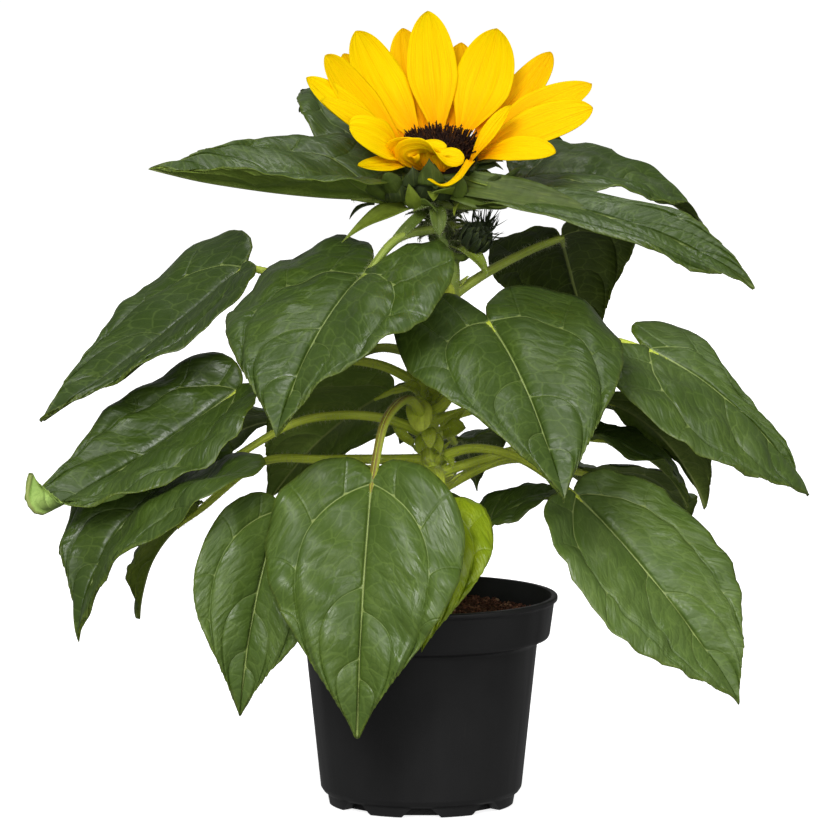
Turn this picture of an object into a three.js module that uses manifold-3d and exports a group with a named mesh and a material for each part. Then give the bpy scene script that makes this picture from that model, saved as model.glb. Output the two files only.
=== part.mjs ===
// A potted dwarf sunflower: black nursery pot, soil, one stem, 26 leaves on their stalks and one bloom.
// Millimetres, +Z up. The viewer of the photograph stands on the -Y side.
// The origin is the middle of the pot's flat underside.
import * as THREE from "three";
import { mergeVertices } from "three/addons/utils/BufferGeometryUtils.js";
import Module from "manifold-3d";

// Driving dimensions of the pot
const POT_HEIGHT = 100;
const RIM_RADIUS = 65;
const BODY_TOP_RADIUS = 55.3;
const BODY_FOOT_RADIUS = 48;
const FOOT_RADIUS = 44.5;
const BAND_HEIGHT = 19;
const WALL = 1.5;
const FLOOR = 2.5;
const FOOT_RING_HEIGHT = 7;
const FOOT_RING_WIDTH = 9;
const NOTCH_COUNT = 8;
const NOTCH_HEIGHT = 4.7;
const NOTCH_WIDE = 21;
const NOTCH_NARROW = 9;
const SOIL_TOP = 92;

// Driving dimensions of the plant
const GAP = 0.3;
const STEM_FOOT_RADIUS = 6;
const STEM_RADIUS = 4.8;
const STEM_NECK_RADIUS = 4;
const STALK_ROOT_RADIUS = 2.7;
const STALK_TIP_RADIUS = 1.8;
const BLADE_THICKNESS = 1.3;
const BLADE_THINNEST_SHARE = 1 / 90;
const RIB_DEPTH = 1.1;
const PETAL_THICKNESS = 0.9;
const BRACT_THICKNESS = 1;

// The bloom: the middle of its disc, and how far it leans towards the viewer
const HEAD = new THREE.Vector3(9, -2, 312);
const HEAD_TILT = THREE.MathUtils.degToRad(20);
const DISC_RADIUS = 17.5;
const RAY_RADIUS = 19;
const HEAD_DEPTH = 19;

// Leaf outline: share of the half outline that is the rounded base, and where the blade is widest
const BASE_SHARE = 0.42;
const WIDEST = 0.27;

const wasm = await Module();
wasm.setup();

const LEAF_GREEN = { color: 0x44652b, roughness: 0.45, metalness: 0 };
const STALK_GREEN = { color: 0x7d9436, roughness: 0.6, metalness: 0 };
const PETAL_YELLOW = { color: 0xffd60a, roughness: 0.5, metalness: 0 };
const DISC_BROWN = { color: 0x2a120c, roughness: 0.9, metalness: 0 };
const POT_BLACK = { color: 0x222224, roughness: 0.5, metalness: 0 };
const SOIL_BROWN = { color: 0x2e1c12, roughness: 1, metalness: 0 };

const vec = (p) => new THREE.Vector3(...p);

// A closed geometry as a manifold solid
function solidOf(geometry) {
  const bare = geometry.clone();
  bare.deleteAttribute("normal");
  bare.deleteAttribute("uv");
  const merged = mergeVertices(bare, 1e-4);
  return new wasm.Manifold(
    new wasm.Mesh({
      numProp: 3,
      vertProperties: new Float32Array(merged.attributes.position.array),
      triVerts: new Uint32Array(merged.index.array),
    }),
  );
}

// The largest body of a manifold solid
function mainBody(solid) {
  return solid.decompose().reduce((a, b) => (b.volume() > a.volume() ? b : a));
}

function geometryOf(solid) {
  const mesh = solid.getMesh();
  const geometry = new THREE.BufferGeometry();
  geometry.setAttribute("position", new THREE.BufferAttribute(mesh.vertProperties, 3));
  geometry.setIndex(new THREE.BufferAttribute(mesh.triVerts, 1));
  geometry.computeVertexNormals();
  return geometry;
}

// Moves every vertex of a geometry to place(x, y, z)
function reshape(geometry, place) {
  const position = geometry.attributes.position;
  const p = new THREE.Vector3();
  for (let i = 0; i < position.count; i++) {
    p.fromBufferAttribute(position, i);
    position.setXYZ(i, ...place(p.x, p.y, p.z).toArray());
  }
  return geometry;
}

// A tapering limb: a cylinder bent along a smooth curve through the points
function limb(points, radiusAt, sides, steps) {
  const path = new THREE.CatmullRomCurve3(points, false, "catmullrom", 0.5);
  const frames = path.computeFrenetFrames(steps);
  const cylinder = new THREE.CylinderGeometry(1, 1, 1, sides, steps);
  return reshape(cylinder, (x, y, z) => {
    const t = y + 0.5;
    const k = Math.round(t * steps);
    return path
      .getPointAt(t)
      .addScaledVector(frames.normals[k], x * radiusAt(t))
      .addScaledVector(frames.binormals[k], -z * radiusAt(t));
  });
}

const cubic = (a, b, c, d, t) =>
  (1 - t) ** 3 * a + 3 * (1 - t) ** 2 * t * b + 3 * (1 - t) * t * t * c + t ** 3 * d;

// Half outline of a heart-shaped leaf: [share of the length, share of the width] at u from 0 to 1
function leafOutline(u, lobe, widest) {
  if (u < BASE_SHARE) {
    const t = u / BASE_SHARE;
    return [cubic(0, -1.3 * lobe, -1.1 * lobe, widest, t), cubic(0, 0.06, 0.5, 0.5, t)];
  }
  const t = (u - BASE_SHARE) / (1 - BASE_SHARE);
  return [cubic(widest, widest + 0.25, 0.74, 1, t), cubic(0.5, 0.5, 0.14, 0, t)];
}

// Where the side vein that ends at u leaves the midrib
function leafVeinFoot(u) {
  if (u < BASE_SHARE) return (0.1 * u) / BASE_SHARE;
  return 0.1 + 0.9 * ((u - BASE_SHARE) / (1 - BASE_SHARE)) ** 1.2;
}

// Half outline of a ray petal or bract: narrow at its foot, round towards the tip
function petalOutline(u) {
  if (u < 0.5) return [cubic(0, 0.15, 0.25, 0.5, 2 * u), cubic(0.16, 0.3, 0.5, 0.5, 2 * u)];
  return [cubic(0.5, 0.75, 0.92, 1, 2 * u - 1), cubic(0.5, 0.5, 0.22, 0.02, 2 * u - 1)];
}

// A thin blade: a flat box whose outline, arch, fold and bend make the leaf
function blade(b) {
  const along = b.tip.clone().sub(b.base);
  const length = along.length();
  along.normalize();
  const up = b.face.clone().addScaledVector(along, -b.face.dot(along)).normalize();
  const across = along.clone().cross(up);
  const box = new THREE.BoxGeometry(1, 1, 1, b.rows, b.columns, 1);
  return reshape(box, (bx, by, bz) => {
    const u = b.first + (bx + 0.5) * (b.last - b.first);
    const v = -2 * by;
    const out = Math.abs(v);
    const [edgeX, edgeY] = b.outline(u);
    const foot = b.foot(u);
    const x = foot + (edgeX - foot) * out;
    const y = edgeY * out * b.width;
    const fold = THREE.MathUtils.degToRad(v < 0 ? b.foldLeft : b.foldRight);
    const rise = b.arch * 4 * x * (1 - x) + y * Math.sin(fold);
    const side = Math.sign(v) * y * Math.cos(fold);
    const lean = -Math.sign(v) * Math.sin(fold);
    const rib = bz < 0 && out < 0.01 ? b.rib * (1 - u) : 0;
    const lift = bz * b.thickness - rib;
    return b.base
      .clone()
      .addScaledVector(along, x * length)
      .addScaledVector(up, rise + lift * Math.cos(fold))
      .addScaledVector(across, side + lift * lean * out);
  });
}

// The way a blade's upper side faces: turned from the viewer towards +X, and raised, in degrees
function facing(turn, rise) {
  const a = THREE.MathUtils.degToRad(turn);
  const e = THREE.MathUtils.degToRad(rise);
  return new THREE.Vector3(Math.sin(a) * Math.cos(e), -Math.cos(a) * Math.cos(e), Math.sin(e));
}

// The stem's middle line, from the soil up to the neck of the bloom
const headAxis = new THREE.Vector3(0, -Math.sin(HEAD_TILT), Math.cos(HEAD_TILT));
const headBack = headAxis.clone().cross(new THREE.Vector3(1, 0, 0));
const below = (depth) => HEAD.clone().addScaledVector(headAxis, -depth);
const STEM_LINE = [
  vec([7, 6, SOIL_TOP + GAP]),
  vec([7, 6, 118]),
  vec([7, 6, 144]),
  vec([3, 7, 177]),
  vec([3, 8, 199]),
  vec([9, 10, 225]),
  vec([14, 10, 249]),
  vec([12, 10, 267]),
  below(HEAD_DEPTH + 12),
  below(HEAD_DEPTH + GAP),
];
const stemPath = new THREE.CatmullRomCurve3(STEM_LINE, false, "catmullrom", 0.5);

// The point of the stem's middle line at a height
function stemAt(height) {
  let low = 0;
  let high = 1;
  for (let i = 0; i < 30; i++) {
    const middle = (low + high) / 2;
    if (stemPath.getPoint(middle).z < height) low = middle;
    else high = middle;
  }
  return stemPath.getPoint(low);
}

function stemRadius(t) {
  const flare = (STEM_FOOT_RADIUS - STEM_RADIUS) * Math.exp(-t * 18);
  return STEM_RADIUS + (STEM_NECK_RADIUS - STEM_RADIUS) * t + flare;
}

// The leaves. root: height on the stem where the stalk starts; via: points the stalk passes;
// base and tip: ends of the blade; face: see facing(); arch: how far the blade bows up from the
// straight line between its ends; foldLeft, foldRight: how far each half is folded up, in degrees;
// lobe: how far the base lobes reach back past the stalk's end, as a share of the length.
const LEAVES = {
  front_low: {
    root: 180, via: [[-6, -28, 197], [-17, -52, 189]], base: [-23, -62, 163], tip: [-30, -88, 45],
    width: 94, face: [-6, 12], arch: 10, foldLeft: 8, foldRight: 8, lobe: 0.11,
  },
  front_pale: {
    root: 159, via: [[9, -22, 159]], base: [9, -38, 149], tip: [0, -76, 84],
    width: 52, face: [8, 22], arch: 8, foldLeft: 8, foldRight: 8, lobe: 0.1,
  },
  front_left: {
    root: 275, via: [[-11, -18, 272]], base: [-26, -30, 257], tip: [-66, -112, 189],
    width: 106, face: [-46, 44], arch: 8, foldLeft: -10, foldRight: 14, lobe: 0.2,
  },
  front_right: {
    root: 187, via: [[12, -8, 194], [23, -18, 219]], base: [31, -25, 234], tip: [65, -112, 159],
    width: 106, face: [15, 48], arch: 10, foldLeft: 4, foldRight: 4, lobe: 0.2,
  },
  crown_left: {
    root: 286, via: [[-8, 0, 288]], base: [-22, -5, 290], tip: [-128, -20, 305],
    width: 82, face: [0, 80], arch: -5, foldLeft: 32, foldRight: 32, lobe: 0.06,
  },
  crown_back_left: {
    root: 279, via: [[-3, 18, 291]], base: [-13, 34, 300], tip: [-60, 112, 323],
    width: 76, face: [180, 82], arch: 18, foldLeft: 0, foldRight: 0, lobe: 0.1,
  },
  crown_right: {
    root: 282, via: [[26, 15, 292]], base: [48, 30, 295], tip: [136, 53, 272],
    width: 78, face: [10, 76], arch: 11, foldLeft: 8, foldRight: 8, lobe: 0.08,
  },
  crown_far_right: {
    root: 286, via: [[20, -12, 287]], base: [33, -23, 289], tip: [156, -42, 251],
    width: 50, face: [0, 82], arch: 11, foldLeft: 0, foldRight: 8, lobe: 0.03, widest: 0.4,
  },
  crown_back_right: {
    root: 272, via: [[14, 30, 290]], base: [20, 56, 300], tip: [72, 122, 305],
    width: 42, face: [150, 70], arch: 6, foldLeft: 8, foldRight: 8, lobe: 0.1,
  },
  back_right_high: {
    root: 241, via: [[31, 20, 252], [51, 34, 261]], base: [67, 45, 267], tip: [84, 104, 204],
    width: 74, face: [-164, 42], arch: 10, foldLeft: 8, foldRight: 8, lobe: 0.26,
  },
  left_high: {
    root: 219, via: [[-36, 16, 243]], base: [-84, 17, 256], tip: [-180, -18, 185],
    width: 84, face: [-64, 50], arch: -3, foldLeft: 0, foldRight: 12, lobe: 0.09,
  },
  left_middle: {
    root: 198, via: [[-21, 4, 210], [-48, 0, 211]], base: [-86, -8, 200], tip: [-184, -30, 146],
    width: 86, face: [-48, 52], arch: -6, foldLeft: 8, foldRight: 18, lobe: 0.1,
  },
  left_low: {
    root: 176, via: [[-17, -5, 185], [-39, -8, 187], [-62, -12, 183]], base: [-93, -15, 166],
    tip: [-161, -45, 84], width: 88, face: [-64, 32], arch: 20, foldLeft: 5, foldRight: 5, lobe: 0.12,
  },
  left_back_low: {
    root: 164, via: [[-46, 15, 163], [-77, 25, 160]], base: [-109, 35, 135], tip: [-136, 38, 82],
    width: 60, face: [-100, 30], arch: 8, foldLeft: 8, foldRight: 8, lobe: 0.1,
  },
  front_left_low: {
    root: 153, via: [[-29, -25, 163]], base: [-66, -40, 147], tip: [-85, -60, 51],
    width: 64, face: [-12, 20], arch: 12, foldLeft: 6, foldRight: 32, lobe: 0.08, widest: 0.36,
  },
  front_right_low: {
    root: 164, via: [[25, -6, 171], [47, -14, 167]], base: [72, -25, 152], tip: [149, -60, 57],
    width: 80, face: [18, 34], arch: 8, foldLeft: 4, foldRight: 22, lobe: 0.09, widest: 0.36,
  },
  right_high: {
    root: 191, via: [[47, 8, 209], [85, 4, 221]], base: [107, 0, 218], tip: [183, -14, 149],
    width: 82, face: [38, 34], arch: 9, foldLeft: -8, foldRight: 4, lobe: 0.16,
  },
  right_back: {
    root: 182, via: [[47, 22, 191]], base: [85, 30, 191], tip: [139, 75, 131],
    width: 76, face: [132, 47], arch: 10, foldLeft: 8, foldRight: 8, lobe: 0.1,
  },
  right_middle: {
    root: 157, via: [[28, 12, 163], [52, 18, 169]], base: [80, 22, 173], tip: [130, 45, 136],
    width: 56, face: [20, 78], arch: 8, foldLeft: 8, foldRight: 8, lobe: 0.08,
  },
  right_small: {
    root: 137, via: [[21, 14, 134]], base: [32, 20, 131], tip: [86, 40, 130],
    width: 50, face: [10, 88], arch: 12, foldLeft: 8, foldRight: 8, lobe: 0.08,
  },
  left_back: {
    root: 192, via: [[-4, 20, 197]], base: [-14, 28, 195], tip: [-75, 58, 135],
    width: 84, face: [-150, 35], arch: 8, foldLeft: 8, foldRight: 8, lobe: 0.12,
  },
  back_small: {
    root: 173, via: [[11, 30, 174]], base: [16, 45, 168], tip: [28, 120, 134],
    width: 60, face: [180, 50], arch: 10, foldLeft: 8, foldRight: 8, lobe: 0.12,
  },
  back_high: {
    root: 226, via: [[-4, 36, 236]], base: [-16, 62, 232], tip: [-46, 165, 196],
    width: 88, face: [-170, 60], arch: 12, foldLeft: 8, foldRight: 8, lobe: 0.14,
  },
  back_left: {
    root: 212, via: [[-26, 42, 212]], base: [-66, 62, 178], tip: [-132, 140, 116],
    width: 88, face: [-140, 50], arch: 12, foldLeft: 8, foldRight: 8, lobe: 0.14,
  },
  back_right_low: {
    root: 149, via: [[42, 38, 160]], base: [80, 68, 150], tip: [124, 130, 90],
    width: 76, face: [140, 50], arch: 12, foldLeft: 8, foldRight: 8, lobe: 0.14,
  },
  back_low: {
    root: 144, via: [[0, 38, 146]], base: [-10, 60, 136], tip: [-24, 112, 52],
    width: 84, face: [-170, 30], arch: 12, foldLeft: 8, foldRight: 8, lobe: 0.12,
  },
};

// The ray petals. around: place on the ring in degrees, 0 at the right and 90 at the back;
// twist: how far the upper side is turned from the bloom's axis towards the viewer
const PETALS = [
  { around: 92, tip: [3, 30, 376], width: 24, arch: -5, twist: 0 },
  { around: 122, tip: [-31, 22, 367], width: 27, arch: -5, twist: 0.2 },
  { around: 62, tip: [36, 24, 368], width: 29, arch: -6, twist: 0.2 },
  { around: 107, tip: [-9, 44, 367], width: 21, arch: -4, twist: 0 },
  { around: 76, tip: [19, 46, 360], width: 20, arch: -4, twist: 0 },
  { around: 42, tip: [62, 36, 356], width: 20, arch: -4, twist: 0.5 },
  { around: 24, tip: [81, 22, 342], width: 20, arch: 3, twist: 0.9 },
  { around: 6, tip: [81, 0, 332], width: 22, arch: 3, twist: 0.9 },
  { around: 347, tip: [63, -24, 313], width: 18, arch: 5, twist: 0.7 },
  { around: 290, tip: [3, -38, 298], width: 13, arch: 6, twist: 0.3 },
  { around: 262, tip: [-8, -40, 312], width: 20, arch: 8, twist: 0 },
  { around: 224, tip: [-30, -32, 306], width: 15, arch: 5, twist: 0.3 },
  { around: 202, tip: [-34, -32, 325], width: 25, arch: 5, twist: 0.3 },
  { around: 187, tip: [-47, -16, 337], width: 18, arch: 3, twist: 0.5 },
  { around: 172, tip: [-54, -8, 347], width: 20, arch: 0, twist: 0.5 },
  { around: 156, tip: [-45, 2, 357], width: 22, arch: -3, twist: 0.4 },
  { around: 139, tip: [-37, 26, 356], width: 20, arch: -3, twist: 0.2 },
];

// Green bracts under the petals: how many, and their sizes
const BRACT_COUNT = 12;
const BRACT_LENGTH = 17;
const BRACT_WIDTH = 9;

// Small shoots in the leaf axils. height and turn place them on the stem, turn 0 at +X
const SHOOTS = [
  { height: 207, turn: 285, length: 17, rise: 50, width: 9 },
  { height: 205, turn: 60, length: 15, rise: 55, width: 8 },
  { height: 150, turn: 300, length: 14, rise: 40, width: 8 },
  { height: 238, turn: 230, length: 16, rise: 60, width: 8 },
  { height: 255, turn: 120, length: 15, rise: 55, width: 8 },
  { height: 281, turn: 207, length: 52, rise: -15, width: 12 },
];

// A side bud below the bloom: where its stalk leaves the stem, its middle and its size
const BUD = { root: 262, at: [26, -6, 271], radius: 6.5, length: 15 };

const plant = new THREE.Group();

function addMesh(name, geometry, look) {
  const mesh = new THREE.Mesh(geometry, new THREE.MeshStandardMaterial(look));
  mesh.name = name;
  plant.add(mesh);
  return mesh;
}

// Pot: a turned shell with a rim band, a foot ring and drain notches under its edge
function potSolid() {
  const bandFoot = POT_HEIGHT - BAND_HEIGHT;
  const outer = [
    [0, 0],
    [FOOT_RADIUS - 0.4, 0],
    [FOOT_RADIUS, 0.4],
    [FOOT_RADIUS + 0.3, 4.6],
    [BODY_FOOT_RADIUS - 1.4, 5.8],
    [BODY_FOOT_RADIUS, 8],
    [BODY_TOP_RADIUS, bandFoot - 4],
    [BODY_TOP_RADIUS + 0.8, bandFoot - 2.6],
    [RIM_RADIUS - 4.4, bandFoot - 1],
    [RIM_RADIUS - 3.7, bandFoot + 0.4],
    [RIM_RADIUS - 1.6, POT_HEIGHT - 3.2],
    [RIM_RADIUS, POT_HEIGHT - 2.2],
    [RIM_RADIUS, POT_HEIGHT - 0.5],
    [RIM_RADIUS - 0.5, POT_HEIGHT],
  ];
  const inner = [
    [RIM_RADIUS - 3, POT_HEIGHT],
    [RIM_RADIUS - 3.7 - WALL, bandFoot + 0.8],
    [BODY_TOP_RADIUS - WALL, bandFoot - 3],
    [BODY_FOOT_RADIUS - WALL, FOOT_RING_HEIGHT + 2],
    [FOOT_RADIUS - 1, FOOT_RING_HEIGHT],
    [FOOT_RADIUS - FOOT_RING_WIDTH, FOOT_RING_HEIGHT],
    [FOOT_RADIUS - FOOT_RING_WIDTH - 1, FLOOR],
    [0, FLOOR],
  ];
  const profile = [...outer, ...inner].map(([r, z]) => new THREE.Vector2(r, z));
  const shell = new THREE.LatheGeometry(profile, 32).rotateX(Math.PI / 2);
  const trapezoid = new THREE.Shape();
  trapezoid.moveTo(-NOTCH_WIDE / 2, -1);
  trapezoid.lineTo(NOTCH_WIDE / 2, -1);
  trapezoid.lineTo(NOTCH_NARROW / 2, NOTCH_HEIGHT);
  trapezoid.lineTo(-NOTCH_NARROW / 2, NOTCH_HEIGHT);
  trapezoid.closePath();
  const reach = FOOT_RING_WIDTH - 1.5;
  let solid = solidOf(shell);
  for (let i = 0; i < NOTCH_COUNT; i++) {
    const notch = new THREE.ExtrudeGeometry(trapezoid, { depth: reach + 6, bevelEnabled: false })
      .rotateX(Math.PI / 2)
      .translate(0, -FOOT_RADIUS + reach, 0)
      .rotateZ((i * 2 * Math.PI) / NOTCH_COUNT);
    solid = solid.subtract(solidOf(notch));
  }
  return solid;
}

// Soil: fills the pot to a little under the rim, a gap's width off the wall
function soilGeometry() {
  const bandFoot = POT_HEIGHT - BAND_HEIGHT;
  const profile = [
    [0, FLOOR + GAP],
    [FOOT_RADIUS - FOOT_RING_WIDTH - 1.6, FLOOR + GAP],
    [FOOT_RADIUS - FOOT_RING_WIDTH - 0.8, FOOT_RING_HEIGHT + GAP],
    [FOOT_RADIUS - 1.6, FOOT_RING_HEIGHT + GAP],
    [BODY_FOOT_RADIUS - WALL - 0.7, FOOT_RING_HEIGHT + 2.4],
    [BODY_TOP_RADIUS - WALL - 0.5, bandFoot - 3],
    [RIM_RADIUS - 3.7 - WALL - 0.6, bandFoot + 0.8],
    [RIM_RADIUS - 3.7 - WALL, SOIL_TOP - 1.2],
    [RIM_RADIUS - 8, SOIL_TOP],
    [0, SOIL_TOP],
  ].map(([r, z]) => new THREE.Vector2(r, z));
  return new THREE.LatheGeometry(profile, 24).rotateX(Math.PI / 2);
}

// Stem with its small shoots fused on, and the same stem a gap fatter to trim the stalks with
const stemGeometry = limb(STEM_LINE, stemRadius, 10, 18);
const stemSleeve = solidOf(limb(STEM_LINE, (t) => stemRadius(t) + GAP, 10, 18));

function shootSolid(s) {
  const turn = THREE.MathUtils.degToRad(s.turn);
  const rise = THREE.MathUtils.degToRad(s.rise);
  const out = new THREE.Vector3(Math.cos(turn), Math.sin(turn), 0);
  const root = stemAt(s.height).addScaledVector(out, STEM_RADIUS - 2);
  const way = out.clone().multiplyScalar(Math.cos(rise));
  way.z = Math.sin(rise);
  return solidOf(
    blade({
      base: root,
      tip: root.clone().addScaledVector(way, s.length + 2),
      face: new THREE.Vector3(-out.x, -out.y, 1),
      width: s.width,
      outline: petalOutline,
      foot: (u) => petalOutline(u)[0],
      first: 0,
      last: 0.97,
      rows: 3,
      columns: 2,
      arch: -2,
      foldLeft: 20,
      foldRight: 20,
      thickness: 1.6,
      rib: 0,
    }),
  );
}

// Stalk of a leaf from the middle of the stem, trimmed a gap clear of the stem
function stalkSolid(leaf, extra) {
  const points = [stemAt(leaf.root), ...leaf.via.map(vec), vec(leaf.base)];
  const radius = (t) => STALK_ROOT_RADIUS + (STALK_TIP_RADIUS - STALK_ROOT_RADIUS) * t + extra;
  return solidOf(limb(points, radius, 6, leaf.via.length > 1 ? 7 : 5));
}

// Side bud: a pointed knob on its own short stalk
function budSolid() {
  const at = vec(BUD.at);
  const root = stemAt(BUD.root);
  const axis = new THREE.Vector3(0.5, -0.35, 0.8).normalize();
  const knob = new THREE.LatheGeometry(
    [
      new THREE.Vector2(0, -BUD.length * 0.45),
      new THREE.Vector2(BUD.radius * 0.75, -BUD.length * 0.3),
      new THREE.Vector2(BUD.radius, 0),
      new THREE.Vector2(BUD.radius * 0.6, BUD.length * 0.35),
      new THREE.Vector2(0, BUD.length * 0.55),
    ],
    10,
  )
    .applyQuaternion(new THREE.Quaternion().setFromUnitVectors(new THREE.Vector3(0, 1, 0), axis))
    .translate(...BUD.at);
  const elbow = at.clone().addScaledVector(axis, -BUD.length * 0.8);
  const stalk = limb([root, elbow, at], () => STALK_TIP_RADIUS, 6, 5);
  return solidOf(stalk).add(solidOf(knob)).subtract(stemSleeve);
}

function leafSolid(leaf) {
  const base = vec(leaf.base);
  const tip = vec(leaf.tip);
  return solidOf(
    blade({
      base,
      tip,
      face: facing(...leaf.face),
      width: leaf.width,
      outline: (u) => leafOutline(u, leaf.lobe, leaf.widest ?? WIDEST),
      foot: leafVeinFoot,
      first: 0.03,
      last: 0.985,
      rows: 9,
      columns: 4,
      arch: leaf.arch,
      foldLeft: leaf.foldLeft,
      foldRight: leaf.foldRight,
      thickness: Math.max(BLADE_THICKNESS, base.distanceTo(tip) * BLADE_THINNEST_SHARE),
      rib: RIB_DEPTH,
    }),
  );
}

// A place in the bloom's own frame: distance from its axis, degrees around, height above the disc
function onHead(radius, around, height) {
  const a = THREE.MathUtils.degToRad(around);
  return HEAD.clone()
    .addScaledVector(new THREE.Vector3(1, 0, 0), radius * Math.cos(a))
    .addScaledVector(headBack, radius * Math.sin(a))
    .addScaledVector(headAxis, height);
}

// A turned shape on the bloom's axis
function turnedOnHead(profile, segments) {
  const points = profile.map(([r, z]) => new THREE.Vector2(r, z));
  return new THREE.LatheGeometry(points, segments)
    .rotateX(Math.PI / 2)
    .rotateX(HEAD_TILT)
    .translate(...HEAD.toArray());
}

function petalSolid(petal) {
  const base = onHead(RAY_RADIUS, petal.around, -3);
  const outward = onHead(1, petal.around, 0).sub(HEAD);
  return solidOf(
    blade({
      base,
      tip: vec(petal.tip),
      face: headAxis
        .clone()
        .addScaledVector(outward, -0.8)
        .add(new THREE.Vector3(0, -petal.twist, 0)),
      width: petal.width,
      outline: petalOutline,
      foot: (u) => petalOutline(u)[0],
      first: 0,
      last: 0.97,
      rows: 4,
      columns: 2,
      arch: petal.arch,
      foldLeft: 10,
      foldRight: 10,
      thickness: PETAL_THICKNESS,
      rib: 0,
    }),
  );
}

function bractSolid(i) {
  const around = (i * 360) / BRACT_COUNT + 8;
  const droop = i % 2 ? 5 : -3;
  return solidOf(
    blade({
      base: onHead(12, around, -11),
      tip: onHead(13 + BRACT_LENGTH, around, -11 + droop),
      face: headAxis,
      width: BRACT_WIDTH,
      outline: petalOutline,
      foot: (u) => petalOutline(u)[0],
      first: 0,
      last: 0.97,
      rows: 3,
      columns: 2,
      arch: 2,
      foldLeft: 12,
      foldRight: 12,
      thickness: BRACT_THICKNESS,
      rib: 0,
    }),
  );
}

addMesh("pot", geometryOf(potSolid()), POT_BLACK);
addMesh("soil", soilGeometry(), SOIL_BROWN);

const stem = SHOOTS.reduce((s, shoot) => s.add(shootSolid(shoot)), solidOf(stemGeometry));
addMesh("stem", geometryOf(stem), STALK_GREEN);

for (const [name, leaf] of Object.entries(LEAVES)) {
  const stalk = mainBody(stalkSolid(leaf, 0).subtract(stemSleeve));
  const cut = mainBody(leafSolid(leaf).subtract(stalkSolid(leaf, GAP)));
  addMesh("stalk_" + name, geometryOf(stalk), STALK_GREEN);
  addMesh("leaf_" + name, geometryOf(cut), LEAF_GREEN);
}

addMesh("bud", geometryOf(mainBody(budSolid())), STALK_GREEN);

// Bloom: green receptacle with bracts, ring of ray petals, and the dark disc
const receptacleCup = turnedOnHead(
  [
    [0, -HEAD_DEPTH],
    [STEM_NECK_RADIUS, -HEAD_DEPTH],
    [8, -15.5],
    [14, -12.5],
    [18, -9],
    [18.5, -6.4],
    [17, -5],
    [0, -5],
  ],
  20,
);
let receptacle = solidOf(receptacleCup);
for (let i = 0; i < BRACT_COUNT; i++) receptacle = receptacle.add(bractSolid(i));
addMesh("receptacle", geometryOf(receptacle), STALK_GREEN);

const rayRing = turnedOnHead(
  [
    [DISC_RADIUS + GAP, -4.6],
    [RAY_RADIUS + 1.6, -4.6],
    [RAY_RADIUS + 1.2, -2],
    [DISC_RADIUS + GAP, -1.6],
    [DISC_RADIUS + GAP, -4.6],
  ],
  18,
);
const rays = PETALS.reduce((s, petal) => s.add(petalSolid(petal)), solidOf(rayRing));
addMesh("ray_petals", geometryOf(rays), PETAL_YELLOW);

const disc = turnedOnHead(
  [
    [0, -4.7],
    [DISC_RADIUS - 0.3, -4.7],
    [DISC_RADIUS, 0],
    [DISC_RADIUS - 3, 3],
    [DISC_RADIUS * 0.5, 3.2],
    [0, 2],
  ],
  18,
);
addMesh("disc", disc, DISC_BROWN);

export default plant;
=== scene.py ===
import math

import bmesh
import bpy
import numpy as np
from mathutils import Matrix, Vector


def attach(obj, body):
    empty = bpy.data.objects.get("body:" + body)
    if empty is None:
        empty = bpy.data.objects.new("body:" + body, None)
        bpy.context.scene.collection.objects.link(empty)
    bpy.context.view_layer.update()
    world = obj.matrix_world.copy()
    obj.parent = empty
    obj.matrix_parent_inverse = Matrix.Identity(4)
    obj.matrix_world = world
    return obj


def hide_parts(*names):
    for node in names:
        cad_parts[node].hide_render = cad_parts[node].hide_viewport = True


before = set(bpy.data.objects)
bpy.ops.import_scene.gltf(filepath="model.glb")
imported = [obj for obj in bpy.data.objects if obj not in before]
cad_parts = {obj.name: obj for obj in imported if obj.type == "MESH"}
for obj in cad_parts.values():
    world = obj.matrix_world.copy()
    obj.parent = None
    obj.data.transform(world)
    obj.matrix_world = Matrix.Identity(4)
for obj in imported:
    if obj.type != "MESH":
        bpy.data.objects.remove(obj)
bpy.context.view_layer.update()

# A potted dwarf sunflower. The tables are in millimetres and degrees, as in the part's source,
# and every leaf, stalk and petal grows here by the same rule, with finer meshes.
MM = 0.001
TAU = 2 * math.pi
GOLDEN_ANGLE = math.radians(137.508)
UP = np.array([0.0, 0.0, 1.0])

POT_HEIGHT = 100
RIM_RADIUS = 65
BODY_TOP_RADIUS = 55.3
BODY_FOOT_RADIUS = 48
FOOT_RADIUS = 44.5
BAND_FOOT = 81
WALL = 1.5
FLOOR = 2.5
NOTCH_COUNT = 8
NOTCH_HEIGHT = 4.7
SOIL_TOP = 92

HEAD = np.array([9.0, -2.0, 312.0])
HEAD_TILT = math.radians(20)
HEAD_AXIS = np.array([0.0, -math.sin(HEAD_TILT), math.cos(HEAD_TILT)])
HEAD_RIGHT = np.array([1.0, 0.0, 0.0])
HEAD_BACK = np.cross(HEAD_AXIS, HEAD_RIGHT)
DISC_RADIUS = 17.5
RAY_RADIUS = 19
HEAD_DEPTH = 19

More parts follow.
